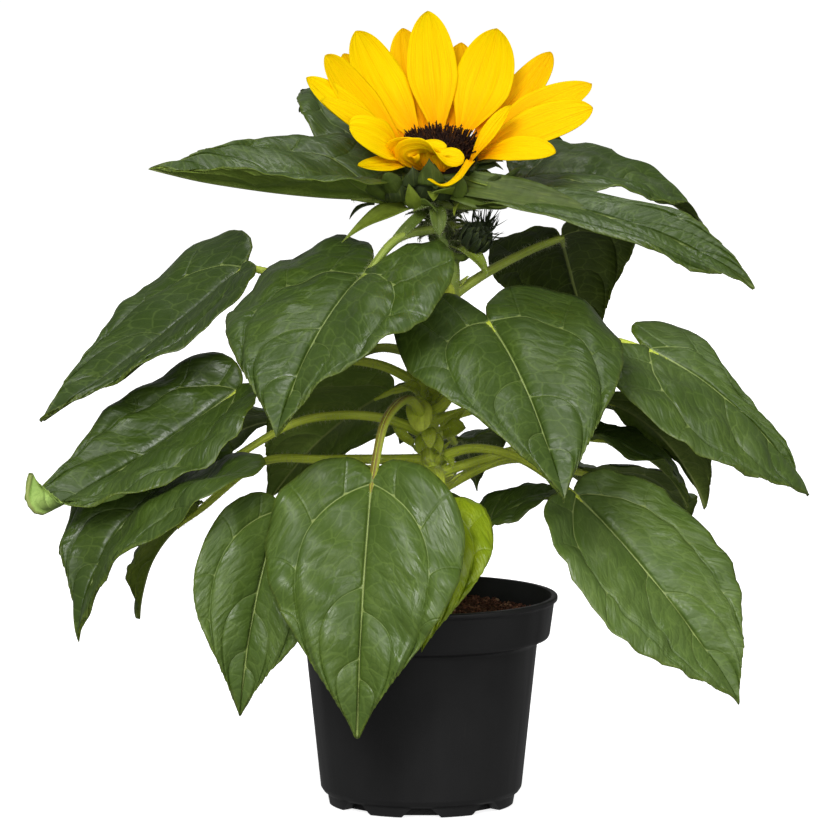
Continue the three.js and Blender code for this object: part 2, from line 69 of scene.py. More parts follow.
# What each leaf is told, its halves being first the one on the right of a viewer who looks at its
# upper side with the tip down, then the other:
# root: height of its stalk's root on the stem; via: points the stalk passes; base, tip: of the blade;
# face: turn and rise of the upper side; arch: of the midrib; fold: how far each half is folded up;
# lobe, notch: how far the base reaches back, and how its edge leaves the stalk; lobes: share of the
# lobe in each half; widest: where the blade is widest; full: how full it is near the tip;
# halves: width of each half; squeeze: how much narrower the first half gets toward the tip;
# tint, under: 0 dark to 1 pale, above and below; camber: swelling of each half; wave: of the margin;
# turn: twist about the midrib; sway, swing: bend of the midrib sideways, in its middle and at its tip;
# reach: length as a share of the way from base to tip; red: blush of the stalk; roll: where a tip is
# rolled up, the radius of the roll, its skew and how far round it goes.
LEAVES = {
    "front_low": dict(
        root=180, via=[(-6, -28, 197), (-17, -52, 189)], base=(-23, -62, 163), tip=(-30, -88, 45),
        width=94, face=(-6, 12), arch=10, fold=(8, 8), lobe=0.11, notch=-0.05, tint=0.75,
        camber=0.05, red=1.0),
    "front_pale": dict(
        root=159, via=[(9, -22, 159)], base=(9, -38, 149), tip=(0, -76, 84),
        width=52, face=(8, 22), arch=8, fold=(8, 8), lobe=0.1, tint=1.6, under=0.6),
    "front_left": dict(
        root=275, via=[(-11, -18, 272)], base=(-26, -30, 257), tip=(-66, -112, 189),
        width=106, face=(-46, 44), arch=8, fold=(-10, 12), lobe=0.25, lobes=(1, 1.3), tint=0.2,
        camber=0.05, wave=0.5),
    "front_right": dict(
        root=187, via=[(12, -8, 194), (23, -18, 219)], base=(31, -25, 234), tip=(65, -112, 159),
        width=106, face=(15, 48), arch=10, fold=(4, 4), lobe=0.24, tint=0.25, camber=0.05),
    "crown_left": dict(
        root=286, via=[(-8, 0, 288)], base=(-22, -5, 290), tip=(-128, -20, 305),
        width=82, face=(0, 80), arch=-3, fold=(25, 29), lobe=0.06, tint=0.1, under=1.0,
        wave=0.8),
    "crown_back_left": dict(
        root=279, via=[(-3, 18, 291)], base=(-13, 34, 300), tip=(-60, 112, 323),
        width=76, face=(180, 82), arch=18, fold=(0, 0), lobe=0.1, tint=0.1),
    "crown_right": dict(
        root=282, via=[(26, 15, 292)], base=(48, 30, 295), tip=(136, 53, 272),
        width=78, face=(10, 76), arch=11, fold=(8, 8), lobe=0.08, tint=0.15, full=0.32),
    "crown_far_right": dict(
        root=286, via=[(20, -12, 287)], base=(33, -23, 289), tip=(156, -42, 251),
        width=50, face=(0, 82), arch=11, fold=(8, -2), turn=-34, lobe=0.08, widest=0.52, tint=0.15,
        full=0.3, halves=(0.7, 0.66)),
    "crown_back_right": dict(
        root=272, via=[(14, 30, 290)], base=(20, 56, 300), tip=(72, 122, 305),
        width=42, face=(150, 70), arch=6, fold=(8, 8), lobe=0.1, tint=0.2),
    # Its underside, the side seen from the front, is given the darkest green: painted shade.
    "back_right_high": dict(
        root=241, via=[(31, 20, 252), (51, 34, 261)], base=(67, 45, 267), tip=(84, 104, 204),
        width=74, face=(-164, 42), arch=10, fold=(8, 8), lobe=0.26, tint=0.1, under=0.0),
    "left_high": dict(
        root=219, via=[(-36, 16, 243)], base=(-84, 17, 256), tip=(-180, -18, 185),
        width=84, face=(-64, 50), arch=-3, fold=(0, 14), lobe=0.13, lobes=(0.2, 1), tint=0.0,
        wave=0.7, halves=(0.84, 1.04)),
    # Its rolled-up tip shows the underside, given a far paler green than an underside has: painted
    # light where the tip catches the light.
    "left_middle": dict(
        root=198, via=[(-21, 4, 210), (-48, 0, 211)], base=(-86, -8, 200), tip=(-184, -30, 146),
        width=86, face=(-48, 52), arch=-6, fold=(8, 22), lobe=0.06, tint=0.25, halves=(1.1, 0.8),
        under=1.8, reach=1.16, swing=-11, roll=(0.845, 3.6, -37, 166)),
    "left_low": dict(
        root=176, via=[(-17, -5, 185), (-39, -8, 187), (-62, -12, 183)], base=(-93, -15, 166),
        tip=(-161, -45, 84), width=88, face=(-64, 32), arch=20, fold=(5, 24), lobe=0.12, tint=0.25,
        halves=(1.3, 1)),
    "left_back_low": dict(
        root=164, via=[(-46, 15, 163), (-77, 25, 160)], base=(-109, 35, 135), tip=(-136, 38, 82),
        width=60, face=(-100, 30), arch=8, fold=(8, 8), lobe=0.1, tint=0.4, under=1.3),
    "front_left_low": dict(
        root=153, via=[(-29, -25, 163)], base=(-66, -40, 147), tip=(-85, -60, 51),
        width=64, face=(-12, 20), arch=12, fold=(6, 32), lobe=0.08, widest=0.36, tint=0.8),
    "front_right_low": dict(
        root=164, via=[(25, -6, 171), (47, -14, 167)], base=(72, -25, 152), tip=(149, -60, 57),
        width=80, face=(18, 34), arch=8, fold=(4, 20), lobe=0.06, widest=0.46, tint=0.85, full=0.23,
        halves=(0.95, 1.14), wave=0.7),
    "right_high": dict(
        root=191, via=[(47, 8, 209), (85, 4, 221)], base=(107, 0, 218), tip=(183, -14, 149),
        width=82, face=(38, 34), arch=9, fold=(-8, 4), lobe=0.16, widest=0.34, tint=0.45, full=0.28,
        halves=(0.76, 1.12), squeeze=0.6, sway=-2, wave=0.8),
    "right_back": dict(
        root=182, via=[(47, 22, 191)], base=(85, 30, 191), tip=(139, 75, 131),
        width=76, face=(132, 47), arch=10, fold=(8, 8), lobe=0.1, tint=0.15, under=0.6),
    "right_middle": dict(
        root=157, via=[(28, 12, 163), (52, 18, 169)], base=(80, 22, 173), tip=(130, 45, 136),
        width=56, face=(20, 78), arch=8, fold=(8, 8), lobe=0.08, tint=0.3, under=0.6),
    "right_small": dict(
        root=137, via=[(21, 14, 134)], base=(32, 20, 131), tip=(86, 40, 130),
        width=50, face=(10, 88), arch=12, fold=(8, 8), lobe=0.08, tint=0.3, under=0.6),
    "left_back": dict(
        root=192, via=[(-4, 20, 197)], base=(-14, 28, 195), tip=(-75, 58, 135),
        width=84, face=(-150, 35), arch=8, fold=(8, 8), lobe=0.12, tint=0.2, under=0.8, wave=0.6),
    "back_small": dict(
        root=173, via=[(11, 30, 174)], base=(16, 45, 168), tip=(28, 120, 134),
        width=60, face=(180, 50), arch=10, fold=(8, 8), lobe=0.12, tint=0.3),
    "back_high": dict(
        root=226, via=[(-4, 36, 236)], base=(-16, 62, 232), tip=(-46, 165, 196),
        width=88, face=(-170, 60), arch=12, fold=(8, 8), lobe=0.14, tint=0.15),
    "back_left": dict(
        root=212, via=[(-26, 42, 212)], base=(-66, 62, 178), tip=(-132, 140, 116),
        width=88, face=(-140, 50), arch=12, fold=(8, 8), lobe=0.14, tint=0.25),
    "back_right_low": dict(
        root=149, via=[(42, 38, 160)], base=(80, 68, 150), tip=(124, 130, 90),
        width=76, face=(140, 50), arch=12, fold=(8, 8), lobe=0.14, tint=0.4),
    "back_low": dict(
        root=144, via=[(0, 38, 146)], base=(-10, 60, 136), tip=(-24, 112, 52),
        width=84, face=(-170, 30), arch=12, fold=(8, 8), lobe=0.12, tint=0.6),
}

# around: where on the disc; via: points on the way; arch, twist, curl: bend, turn and curled-up tip;
# face, face_tip: of the upper side; deep: painted shade, a deeper orange for a petal in shadow; cup:
# hollow across; blunt: width of the tip
PETALS = [
    dict(around=92, tip=(3, 30, 376), width=24, arch=-5, twist=0),
    dict(around=122, tip=(-31, 22, 367), width=27, arch=-5, twist=0.2),
    dict(around=62, tip=(36, 24, 368), width=29, arch=-6, twist=0.2),
    dict(around=107, tip=(-9, 44, 367), width=21, arch=-4, twist=0, deep=0.8),
    dict(around=76, tip=(19, 46, 360), width=20, arch=-4, twist=0, deep=0.9),
    dict(around=42, tip=(62, 36, 356), width=20, arch=-4, twist=0.5, deep=0.8),
    dict(around=24, tip=(81, 22, 342), width=20, arch=3, twist=0.9, deep=0.55),
    dict(around=6, tip=(81, 0, 332), width=22, arch=3, twist=0.9, deep=0.35),
    dict(around=347, tip=(63, -24, 313), width=16, arch=5, twist=0.7, deep=0.2),
    dict(around=316, tip=(42, -9, 334), width=10, arch=1, face=(-0.6, -0.7, 0.5), deep=0.1,
         cup=0.3),
    dict(around=312, via=[(23, -23, 308.6), (17, -29, 301), (10.2, -33, 298)], tip=(3, -37, 301.6),
         width=6.5, cup=0.3, face=(0.2, 0.4, 0.9), face_tip=(-0.3, -0.6, 0.7), wave=0.3, deep=0.2),
    dict(around=242, via=[(-7, -24.5, 311.6), (0.6, -24, 314.3), (9, -24, 312.2)],
         tip=(20, -24, 309.2), width=17, cup=0.1, face=(0.3, 0.9, 0.3), face_tip=(0.1, -0.7, 0.7),
         wave=0.9, blunt=0.3, deep=0.3),
    dict(around=15, tip=(62, 12, 332), width=19, arch=0, twist=0.6, deep=0.9),
    dict(around=246, tip=(0.5, -24, 315.5), width=17, arch=1, face=(0.1, 0.9, 0.3), deep=1.0, cup=0.1),
    dict(around=272, tip=(12, -25, 311.5), width=13, arch=1, face=(0, 0.9, 0.3), deep=0.8, cup=0.1),
    dict(around=227, via=[(-11, -21, 313.2), (-1.6, -18.5, 316.4)], tip=(12, -15, 314.6),
         width=16, cup=0.1, face=(0.2, 0.85, 0.4), face_tip=(0.1, -0.6, 0.7), wave=0.8,
         blunt=1, deep=0.2),
    dict(around=222, tip=(-30, -32, 306), width=9.5, arch=2.5, twist=0.8, curl=2),
    dict(around=202, tip=(-33.5, -32, 325), width=21, arch=4, face=(-0.2, -0.9, 0.7), blunt=1.3,
         wave=0.8),
    dict(around=187, tip=(-47, -16, 337), width=18, arch=3, twist=0.5, deep=0.2),
    dict(around=172, tip=(-54, -8, 347), width=20, arch=0, twist=0.5),
    dict(around=156, tip=(-45, 2, 357), width=22, arch=-3, twist=0.4, deep=0.3),
    dict(around=139, tip=(-37, 26, 356), width=20, arch=-3, twist=0.2, deep=0.6),
]

# Small shoots in the leaf axils: height and turn on the stem, length, rise and width
SHOOTS = [
    (207, 285, 17, 50, 9), (205, 60, 15, 55, 8), (150, 300, 14, 40, 8),
    (238, 230, 16, 60, 8), (255, 120, 15, 55, 8),
]
# Single bracts under the bloom: base, tip, the way its upper side faces, width, shape and tint
BRACTS = [
    ((4.6, -23.5, 297.5), (3.6, -28, 310.6), (0, 1, 0.2), 10,
     dict(arch=-0.6, tint=0.3, taper=1.3, foot=1.0)),
    ((-3.5, -22, 297), (-4.2, -25, 306.4), (-0.3, 1, 0.2), 9,
     dict(arch=-1, tint=0.1, taper=1.1, foot=0.8)),
    ((21, -17, 291.5), (4.6, -25, 294), (0.2, 0.5, 1), 10, dict(arch=1, tint=0.55)),
    ((21, -17, 297), (78, -31, 286.5), (0.1, -0.9, 0.5), 11,
     dict(arch=2.5, tint=0.34, foot=0.9, rows=24)),
    ((16, -16, 295), (40, -22, 286.5), (0.1, -0.9, 0.4), 11, dict(arch=2, tint=0.45, foot=0.9)),
    ((-1, -17, 291), (2.5, -21.5, 301), (0, 1, 0.3), 13, dict(arch=-1, tint=0.06, foot=1.0)),
    ((9, -17, 290), (10, -21.5, 300), (0, 1, 0.3), 13, dict(arch=-1, tint=0.06, foot=1.0)),
    ((-8, -15, 289.5), (-10, -20, 299), (-0.3, 1, 0.3), 12, dict(arch=-1, tint=0.12, foot=1.0)),
    ((15.9, -20, 291.5), (18.8, -25, 302), (0.4, 1, 0.3), 10, dict(arch=-1, tint=0.5)),
    ((-2.5, -14, 285.5), (-6, -23.5, 298.5), (0, 0.8, 0.8), 10, dict(arch=-2, tint=0.56, taper=1.1)),
    ((-3.5, -14, 287.5), (7.2, -21, 285), (0, 0.5, 1), 8, dict(arch=2, tint=0.5)),
    ((-13, -10, 289), (-28.5, -22, 301.5), (-0.5, 0.4, 1), 11, dict(arch=-2, tint=0.45)),
    ((-10, -15, 292), (-17.2, -27, 304), (-0.3, 0.8, 0.6), 11, dict(arch=-1.5, tint=0.35)),
    ((-22.5, -8, 287.5), (-33.9, -14, 280.8), (0, 0, 1), 4.5, dict(arch=2, tint=0.1)),
    ((33, -9, 293.5), (46.8, -18, 306), (0.3, 0.6, 0.8), 5, dict(arch=-1, tint=0.2)),
    ((27, -12, 293), (37.3, -22, 302.5), (0.3, 0.6, 0.8), 6, dict(arch=-1, tint=0.2)),
    ((24, -9, 288), (38.9, -14, 286), (0, 0.2, 1), 7, dict(arch=2.5, tint=0.6)),
    ((23.5, -9, 289.5), (15.2, -14, 282.4), (-0.5, 0, 1), 6, dict(arch=2.5, tint=0.65)),
]

# Leaflets that hang from the top of the stem, and those crowded in the axils lower down
SPROUTS = [
    ((2.6, -6, 284.5), (-17, -19, 266.6), (0.5, -0.6, 0.7), 6, dict(arch=3, tint=0.5)),
    ((7.2, -11, 286.5), (8.4, -18, 273), (0.1, -1, 0.4), 9, dict(arch=2, tint=0.5)),
    ((7.2, -10, 287.5), (-4, -16, 284.5), (0.1, -0.6, 0.8), 7, dict(arch=2.5, tint=0.4)),
    ((18, -4, 266), (31, -13, 254), (0.5, -0.8, 0.8), 9, dict(arch=3, tint=0.55)),
    ((-2.6, -2, 193.5), (-0.4, -12, 179), (0.15, -1, 0.3), 12, dict(arch=2.5, tint=1.0, taper=0.5)),
    ((10.5, 1, 176), (21, -4, 180.5), (0.1, -0.8, 0.8), 10, dict(arch=1.5, tint=0.75, taper=0.5)),
    ((9.5, 2, 179.5), (20.5, -1, 188.2), (-0.4, -0.8, 0.6), 6, dict(arch=-1, tint=0.85)),
    ((3.2, 0, 176), (-1.6, -7, 168.6), (-0.4, -1, 0.5), 8, dict(arch=1.5, tint=0.7)),
    ((4.1, 0, 177), (9.2, -7, 168.6), (0.4, -1, 0.5), 8, dict(arch=1.5, tint=0.75)),
    ((3.2, -1, 180), (4.3, -8, 171), (0, -1, 0.4), 8, dict(arch=1.5, tint=0.85)),
    ((-3.5, 1, 172), (-13.8, -6, 183.3), (0.6, -0.9, 0.4), 6, dict(arch=-2, tint=0.85)),
    ((-0.6, 3, 196), (-8.6, -4, 200.8), (0, -0.8, 0.7), 8, dict(arch=1.5, tint=0.8)),
    ((3.8, 3, 194), (8.2, -6, 201.4), (0, -1, 0.4), 8, dict(arch=-1, tint=0.8)),
    ((8.9, 3, 168.5), (15, -3, 161.4), (0.5, -0.8, 0.6), 7, dict(arch=1.5, tint=0.75)),
    ((-1.6, 5, 203), (-6.2, -2, 212), (-0.2, -0.9, 0.3), 7, dict(arch=-1, tint=0.75)),
    ((4.1, 4, 205), (9.7, -3, 213), (0.3, -0.9, 0.3), 7, dict(arch=-1, tint=0.75)),
]
# The three rows of bracts round the cup: how many, radius and height of their feet, their reach,
# width, and rise from foot to tip
BRACT_ROWS = [
    (15, 16.0, -8.0, 11, 9.5, 3.0), (13, 14.0, -11.0, 15, 9.0, -1.0), (9, 10.5, -14.0, 14, 8.0, -7.0),
]
BUD_ROOT = 262
BUD_AT = np.array([26.0, -6.0, 271.0])
BUD_AXIS = np.array([0.5, -0.35, 0.8]) / math.sqrt(0.5**2 + 0.35**2 + 0.8**2)
BUD_LENGTH = 15
BUD_STALK = 1.9
SPIKE_RADII = np.array([0.42, 0.36, 0.3, 0.22, 0.13, 0.04])


# Shapes are arrays of points and of triangles.

def unit(v):
    return v / np.maximum(np.linalg.norm(v, axis=-1, keepdims=True), 1e-12)


def circle(count):
    return np.linspace(0, TAU, count, endpoint=False)


def level_way(turn):
    """The level direction at a turn from +X."""
    return np.array([math.cos(turn), math.sin(turn), 0.0])


def cubic(a, b, c, d, t):
    return (1 - t) ** 3 * a + 3 * (1 - t) ** 2 * t * b + 3 * (1 - t) * t * t * c + t ** 3 * d


def spline(points, count):
    """Points at equal steps along the smooth curve through the given ones."""
    p = np.array(points, float)
    p = np.vstack([2 * p[0] - p[1], p, 2 * p[-1] - p[-2]])
    t = np.linspace(0, 1, 30, endpoint=False)[:, None]
    runs = []
    for a, b, c, d in zip(p, p[1:], p[2:], p[3:]):
        runs.append(0.5 * (2 * b + (c - a) * t + (2 * a - 5 * b + 4 * c - d) * t**2
                           + (3 * b - a - 3 * c + d) * t**3))
    fine = np.vstack([*runs, p[-2]])
    run = run_along(fine)
    at = np.linspace(0, run[-1], count)
    return np.stack([np.interp(at, run, fine[:, k]) for k in range(3)], 1)


def run_along(points):
    """Distance of each point from the first, along the line."""
    return np.concatenate([[0], np.cumsum(np.linalg.norm(np.diff(points, axis=0), axis=1))])


def grid(rows, cols, loop=False):
    """Triangles of a grid of points, closed across its columns if loop."""
    a = np.arange(rows - 1)[:, None] * cols
    c = np.arange(cols if loop else cols - 1)[None, :]
    d = (c + 1) % cols
    quads = np.stack([a + c, a + d, a + cols + d, a + cols + c], -1).reshape(-1, 4)
    return np.concatenate([quads[:, [0, 1, 2]], quads[:, [0, 2, 3]]])


def outward(verts, tris):
    """The triangles of a closed shape, turned to face out."""
    a, b, c = (verts[tris[:, i]] for i in range(3))
    return tris if (a * np.cross(b, c)).sum() > 0 else tris[:, ::-1]


def capped(rings, first, last):
    """A closed shape from rings of points, whose end rings close on the points first and last."""
    rows, cols = rings.shape[:2]
    n = rows * cols
    k = np.arange(cols)
    after = (k + 1) % cols
    tris = np.concatenate([
        grid(rows, cols, loop=True),
        np.stack([after, k, np.full(cols, n)], 1),
        np.stack([k + n - cols, after + n - cols, np.full(cols, n + 1)], 1)])
    verts = np.vstack([rings.reshape(-1, 3), first, last])
    return verts, outward(verts, tris)


def sheet(top, under):
    """A closed thin sheet from the grids of points of its two sides."""
    rows, cols = top.shape[:2]
    n = rows * cols
    border = np.concatenate([
        np.arange(cols - 1), np.arange(rows - 1) * cols + cols - 1,
        (rows - 1) * cols + np.arange(cols - 1, 0, -1), np.arange(rows - 1, 0, -1) * cols])
    after = np.roll(border, -1)
    verts = np.vstack([top.reshape(-1, 3), under.reshape(-1, 3)])
    tris = grid(rows, cols)
    tris = np.concatenate([
        tris, tris[:, ::-1] + n,
        np.stack([border, border + n, after], 1), np.stack([after, border + n, after + n], 1)])
    return verts, outward(verts, tris)


def point_normals(verts, tris):
    """Outward direction at each point of a surface."""
    a, b, c = (verts[tris[:, i]] for i in range(3))
    faces = np.cross(b - a, c - a)
    normals = np.zeros_like(verts)
    for i in range(3):
        np.add.at(normals, tris[:, i], faces)
    return unit(normals)


UV_LENGTH = 10         # length of one unit of the map along limbs and small leaves
HAIR_SAG = 0.15        # most that a hair leans down
HAIR_ROOT = 0.2        # how deep it is rooted


class Heap:
    """Gathers shapes into one mesh, with three numbers a point for its look, and a map."""

    def __init__(self):
        self.parts = []
        self.count = 0

    def add(self, verts, tris, shade=(0, 0, 0), uv=None, slot=0):
        n = len(verts)
        shade = np.broadcast_to(np.asarray(shade, float), (n, 3))
        slots = np.broadcast_to(np.asarray(slot), (len(tris),))
        uv = np.zeros((n, 2)) if uv is None else uv
        self.parts.append((verts, tris + self.count, shade, slots, uv))
        self.count += n

    def make(self, name, materials, slot, nodes=()):
        verts, tris, shade, slots, uv = (np.concatenate(p) for p in zip(*self.parts))
        mesh = bpy.data.meshes.new(name)
        mesh.vertices.add(len(verts))
        mesh.vertices.foreach_set("co", (verts * MM).astype(np.float32).ravel())
        mesh.loops.add(tris.size)
        mesh.loops.foreach_set("vertex_index", tris.astype(np.int32).ravel())
        mesh.polygons.add(len(tris))
        mesh.polygons.foreach_set("loop_start", np.arange(0, tris.size, 3, dtype=np.int32))
        mesh.polygons.foreach_set("material_index", slots.astype(np.int32))
        mesh.update(calc_edges=True)
        mesh.shade_smooth()
        colours = np.c_[shade, np.ones(len(verts))].astype(np.float32)
        mesh.color_attributes.new("shade", "FLOAT_COLOR", "POINT").data.foreach_set(
            "color", colours.ravel())
        corners = uv[tris.ravel()].astype(np.float32)
        mesh.uv_layers.new(name="blade").uv.foreach_set("vector", corners.ravel())
        for material in materials:
            mesh.materials.append(material)
        dress(placed(name, mesh), nodes)


def placed(name, data):
    """A new object of the scene."""
    made = bpy.data.objects.new(name, data)
    bpy.context.scene.collection.objects.link(made)
    return made


def dress(piece, nodes=()):
    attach(piece, "root")
    if nodes:
        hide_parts(*nodes)


def limb(points, radius, sides, ribs=0, depth=0.0, channel=0.0):
    """A tapering limb round a middle line: points, triangles, outward normals and map."""
    n = len(points)
    tangent = unit(np.gradient(points, axis=0))
    normal = np.zeros_like(points)
    last = UP if abs(tangent[0][2]) < 0.9 else np.array([0.0, -1.0, 0.0])
    for i in range(n):
        last = unit(last - tangent[i] * (last @ tangent[i]))
        normal[i] = last
    side = np.cross(tangent, normal)
    angle = circle(sides)
    away = np.minimum(angle, TAU - angle)
    section = (1 + depth * np.cos(ribs * angle)) * (1 - channel * np.exp(-(away / 0.55) ** 2))
    around = (np.cos(angle)[None, :, None] * normal[:, None]
              + np.sin(angle)[None, :, None] * side[:, None])
    rings = points[:, None] + around * (radius[:, None] * section[None])[..., None]
    run = run_along(points) / UV_LENGTH
    uv = np.stack([np.broadcast_to(angle / TAU, (n, sides)),
                   np.broadcast_to(run[:, None], (n, sides))], -1).reshape(-1, 2)
    verts, tris = capped(rings, points[0], points[-1])
    uv = np.vstack([uv, [[0, 0], [0, run[-1]]]])
    normals = np.vstack([around.reshape(-1, 3), -tangent[0], tangent[-1]])
    return verts, tris, normals, uv


def add_hairs(heap, roots, ways, lengths, thickness, rng, spread=0.35):
    """Fine pointed three-sided hairs that sag a little."""
    n = len(roots)
    ways = unit(ways + rng.normal(0, spread, (n, 3)) - UP * HAIR_SAG * rng.random((n, 1)))
    other = unit(np.cross(ways, rng.normal(0, 1, (n, 3))))
    third = np.cross(ways, other)
    ring = [roots - ways * HAIR_ROOT + (other * math.cos(a) + third * math.sin(a)) * thickness
            for a in circle(3)]
    verts = np.stack([*ring, roots + ways * lengths[:, None]], 1)
    pattern = np.array([[0, 1, 3], [1, 2, 3], [2, 0, 3], [0, 2, 1]])
    tris = (np.arange(n)[:, None, None] * 4 + pattern).reshape(-1, 3)
    heap.add(verts.reshape(-1, 3), tris)


# The blade of a leaf.

BASE_SHARE = 0.42      # part of the outline from the stalk to the widest place
WIDEST = 0.27          # where that place is, as a share of the length
STRONG = 0.78          # where on the outline the strong side vein ends
VEIN_FOOT = 0.012      # where the strong side veins leave the midrib, as a share of the length
VEIN_LEAD = 0.24       # how far the veins lean toward the tip as they leave the midrib
VEIN_BOW = 0.53        # how far they bow out, as a share of the width
ROWS = 57              # grid lines that leave the midrib, and which of them are veins in each half
VEIN_ROWS = ([0, 30, 44, 56], [0, 25, 40, 56])
BRANCH_VEINS = 5       # veins that leave the strong one outwards
COLS = 8 * BRANCH_VEINS + 1
BACK = 11              # grid lines outside the strong vein
FULL_WIDTH = 94        # width of a full-grown leaf, to which the pitch of the cross veins belongs
RUNG = 7.0             # pitch of the cross veins
RUNG_RISE = 0.34       # height of the quilting between them
TOOTH_PITCH = 4.6      # teeth of the margin
TOOTH = 0.5
MARGIN = 12            # breadth of the paler margin
WAVES = 3.2            # waves along the margin
CYCLE = 6.28           # one cycle of a blade's waves and swellings, in radians
HOLLOW = 0.8           # depth of the hollow along the strong veins
THICKNESS = 0.5
GROOVE = 0.35          # depth of the veins above, and their height and the midrib's below
VEIN_RIB = 0.3
MIDRIB = 0.9
SWELLS = 6             # broad uneven swellings of a blade, and their height
SWELL = 0.65
RAISED = 0.1           # how far the blade lies above its middle surface


def leaf_outline(u, lobe, widest, full, notch):
    """Half an outline, from the stalk at u = 0 round the lobe to the tip at u = 1."""
    t = np.clip(u / BASE_SHARE, 0, 1)
    s = np.clip((u - BASE_SHARE) / (1 - BASE_SHARE), 0, 1)
    x = np.where(u < BASE_SHARE, cubic(0, -1.3 * lobe, -1.1 * lobe, widest, t),
                 cubic(widest, widest + 0.25, 0.67 + 0.5 * full, 1, s))
    y = np.where(u < BASE_SHARE, cubic(0, notch, 0.5, 0.5, t), cubic(0.5, 0.5, full, 0, s))
    return x, y


def rung_of(leaf, x, y):
    """Which cross vein a point is at, and how far out: they leave the midrib square, then bow."""
    scale = (FULL_WIDTH / leaf["width"]) ** 0.6
    side = FULL_WIDTH * np.abs(y) / leaf["width"]
    return (x * scale - 0.042 * side**2 / (1 + 0.025 * side)) / RUNG, y * scale / RUNG


def turned_by(a, b, angle):
    """Two shares of a direction, turned by an angle from the second toward the first."""
    return a * np.cos(angle) + b * np.sin(angle), b * np.cos(angle) - a * np.sin(angle)


def facing(turn, rise):
    """The direction at a turn from the viewer's side and a rise above level."""
    a, e = math.radians(turn), math.radians(rise)
    return np.array([math.sin(a) * math.cos(e), -math.cos(a) * math.cos(e), math.sin(e)])


def run_of(x, y, axis):
    """Distance in the flat blade along a grid line."""
    step = np.hypot(np.diff(x, axis=axis), np.diff(y, axis=axis))
    return np.concatenate([np.zeros_like(np.take(step, [0], axis)), np.cumsum(step, axis=axis)], axis)


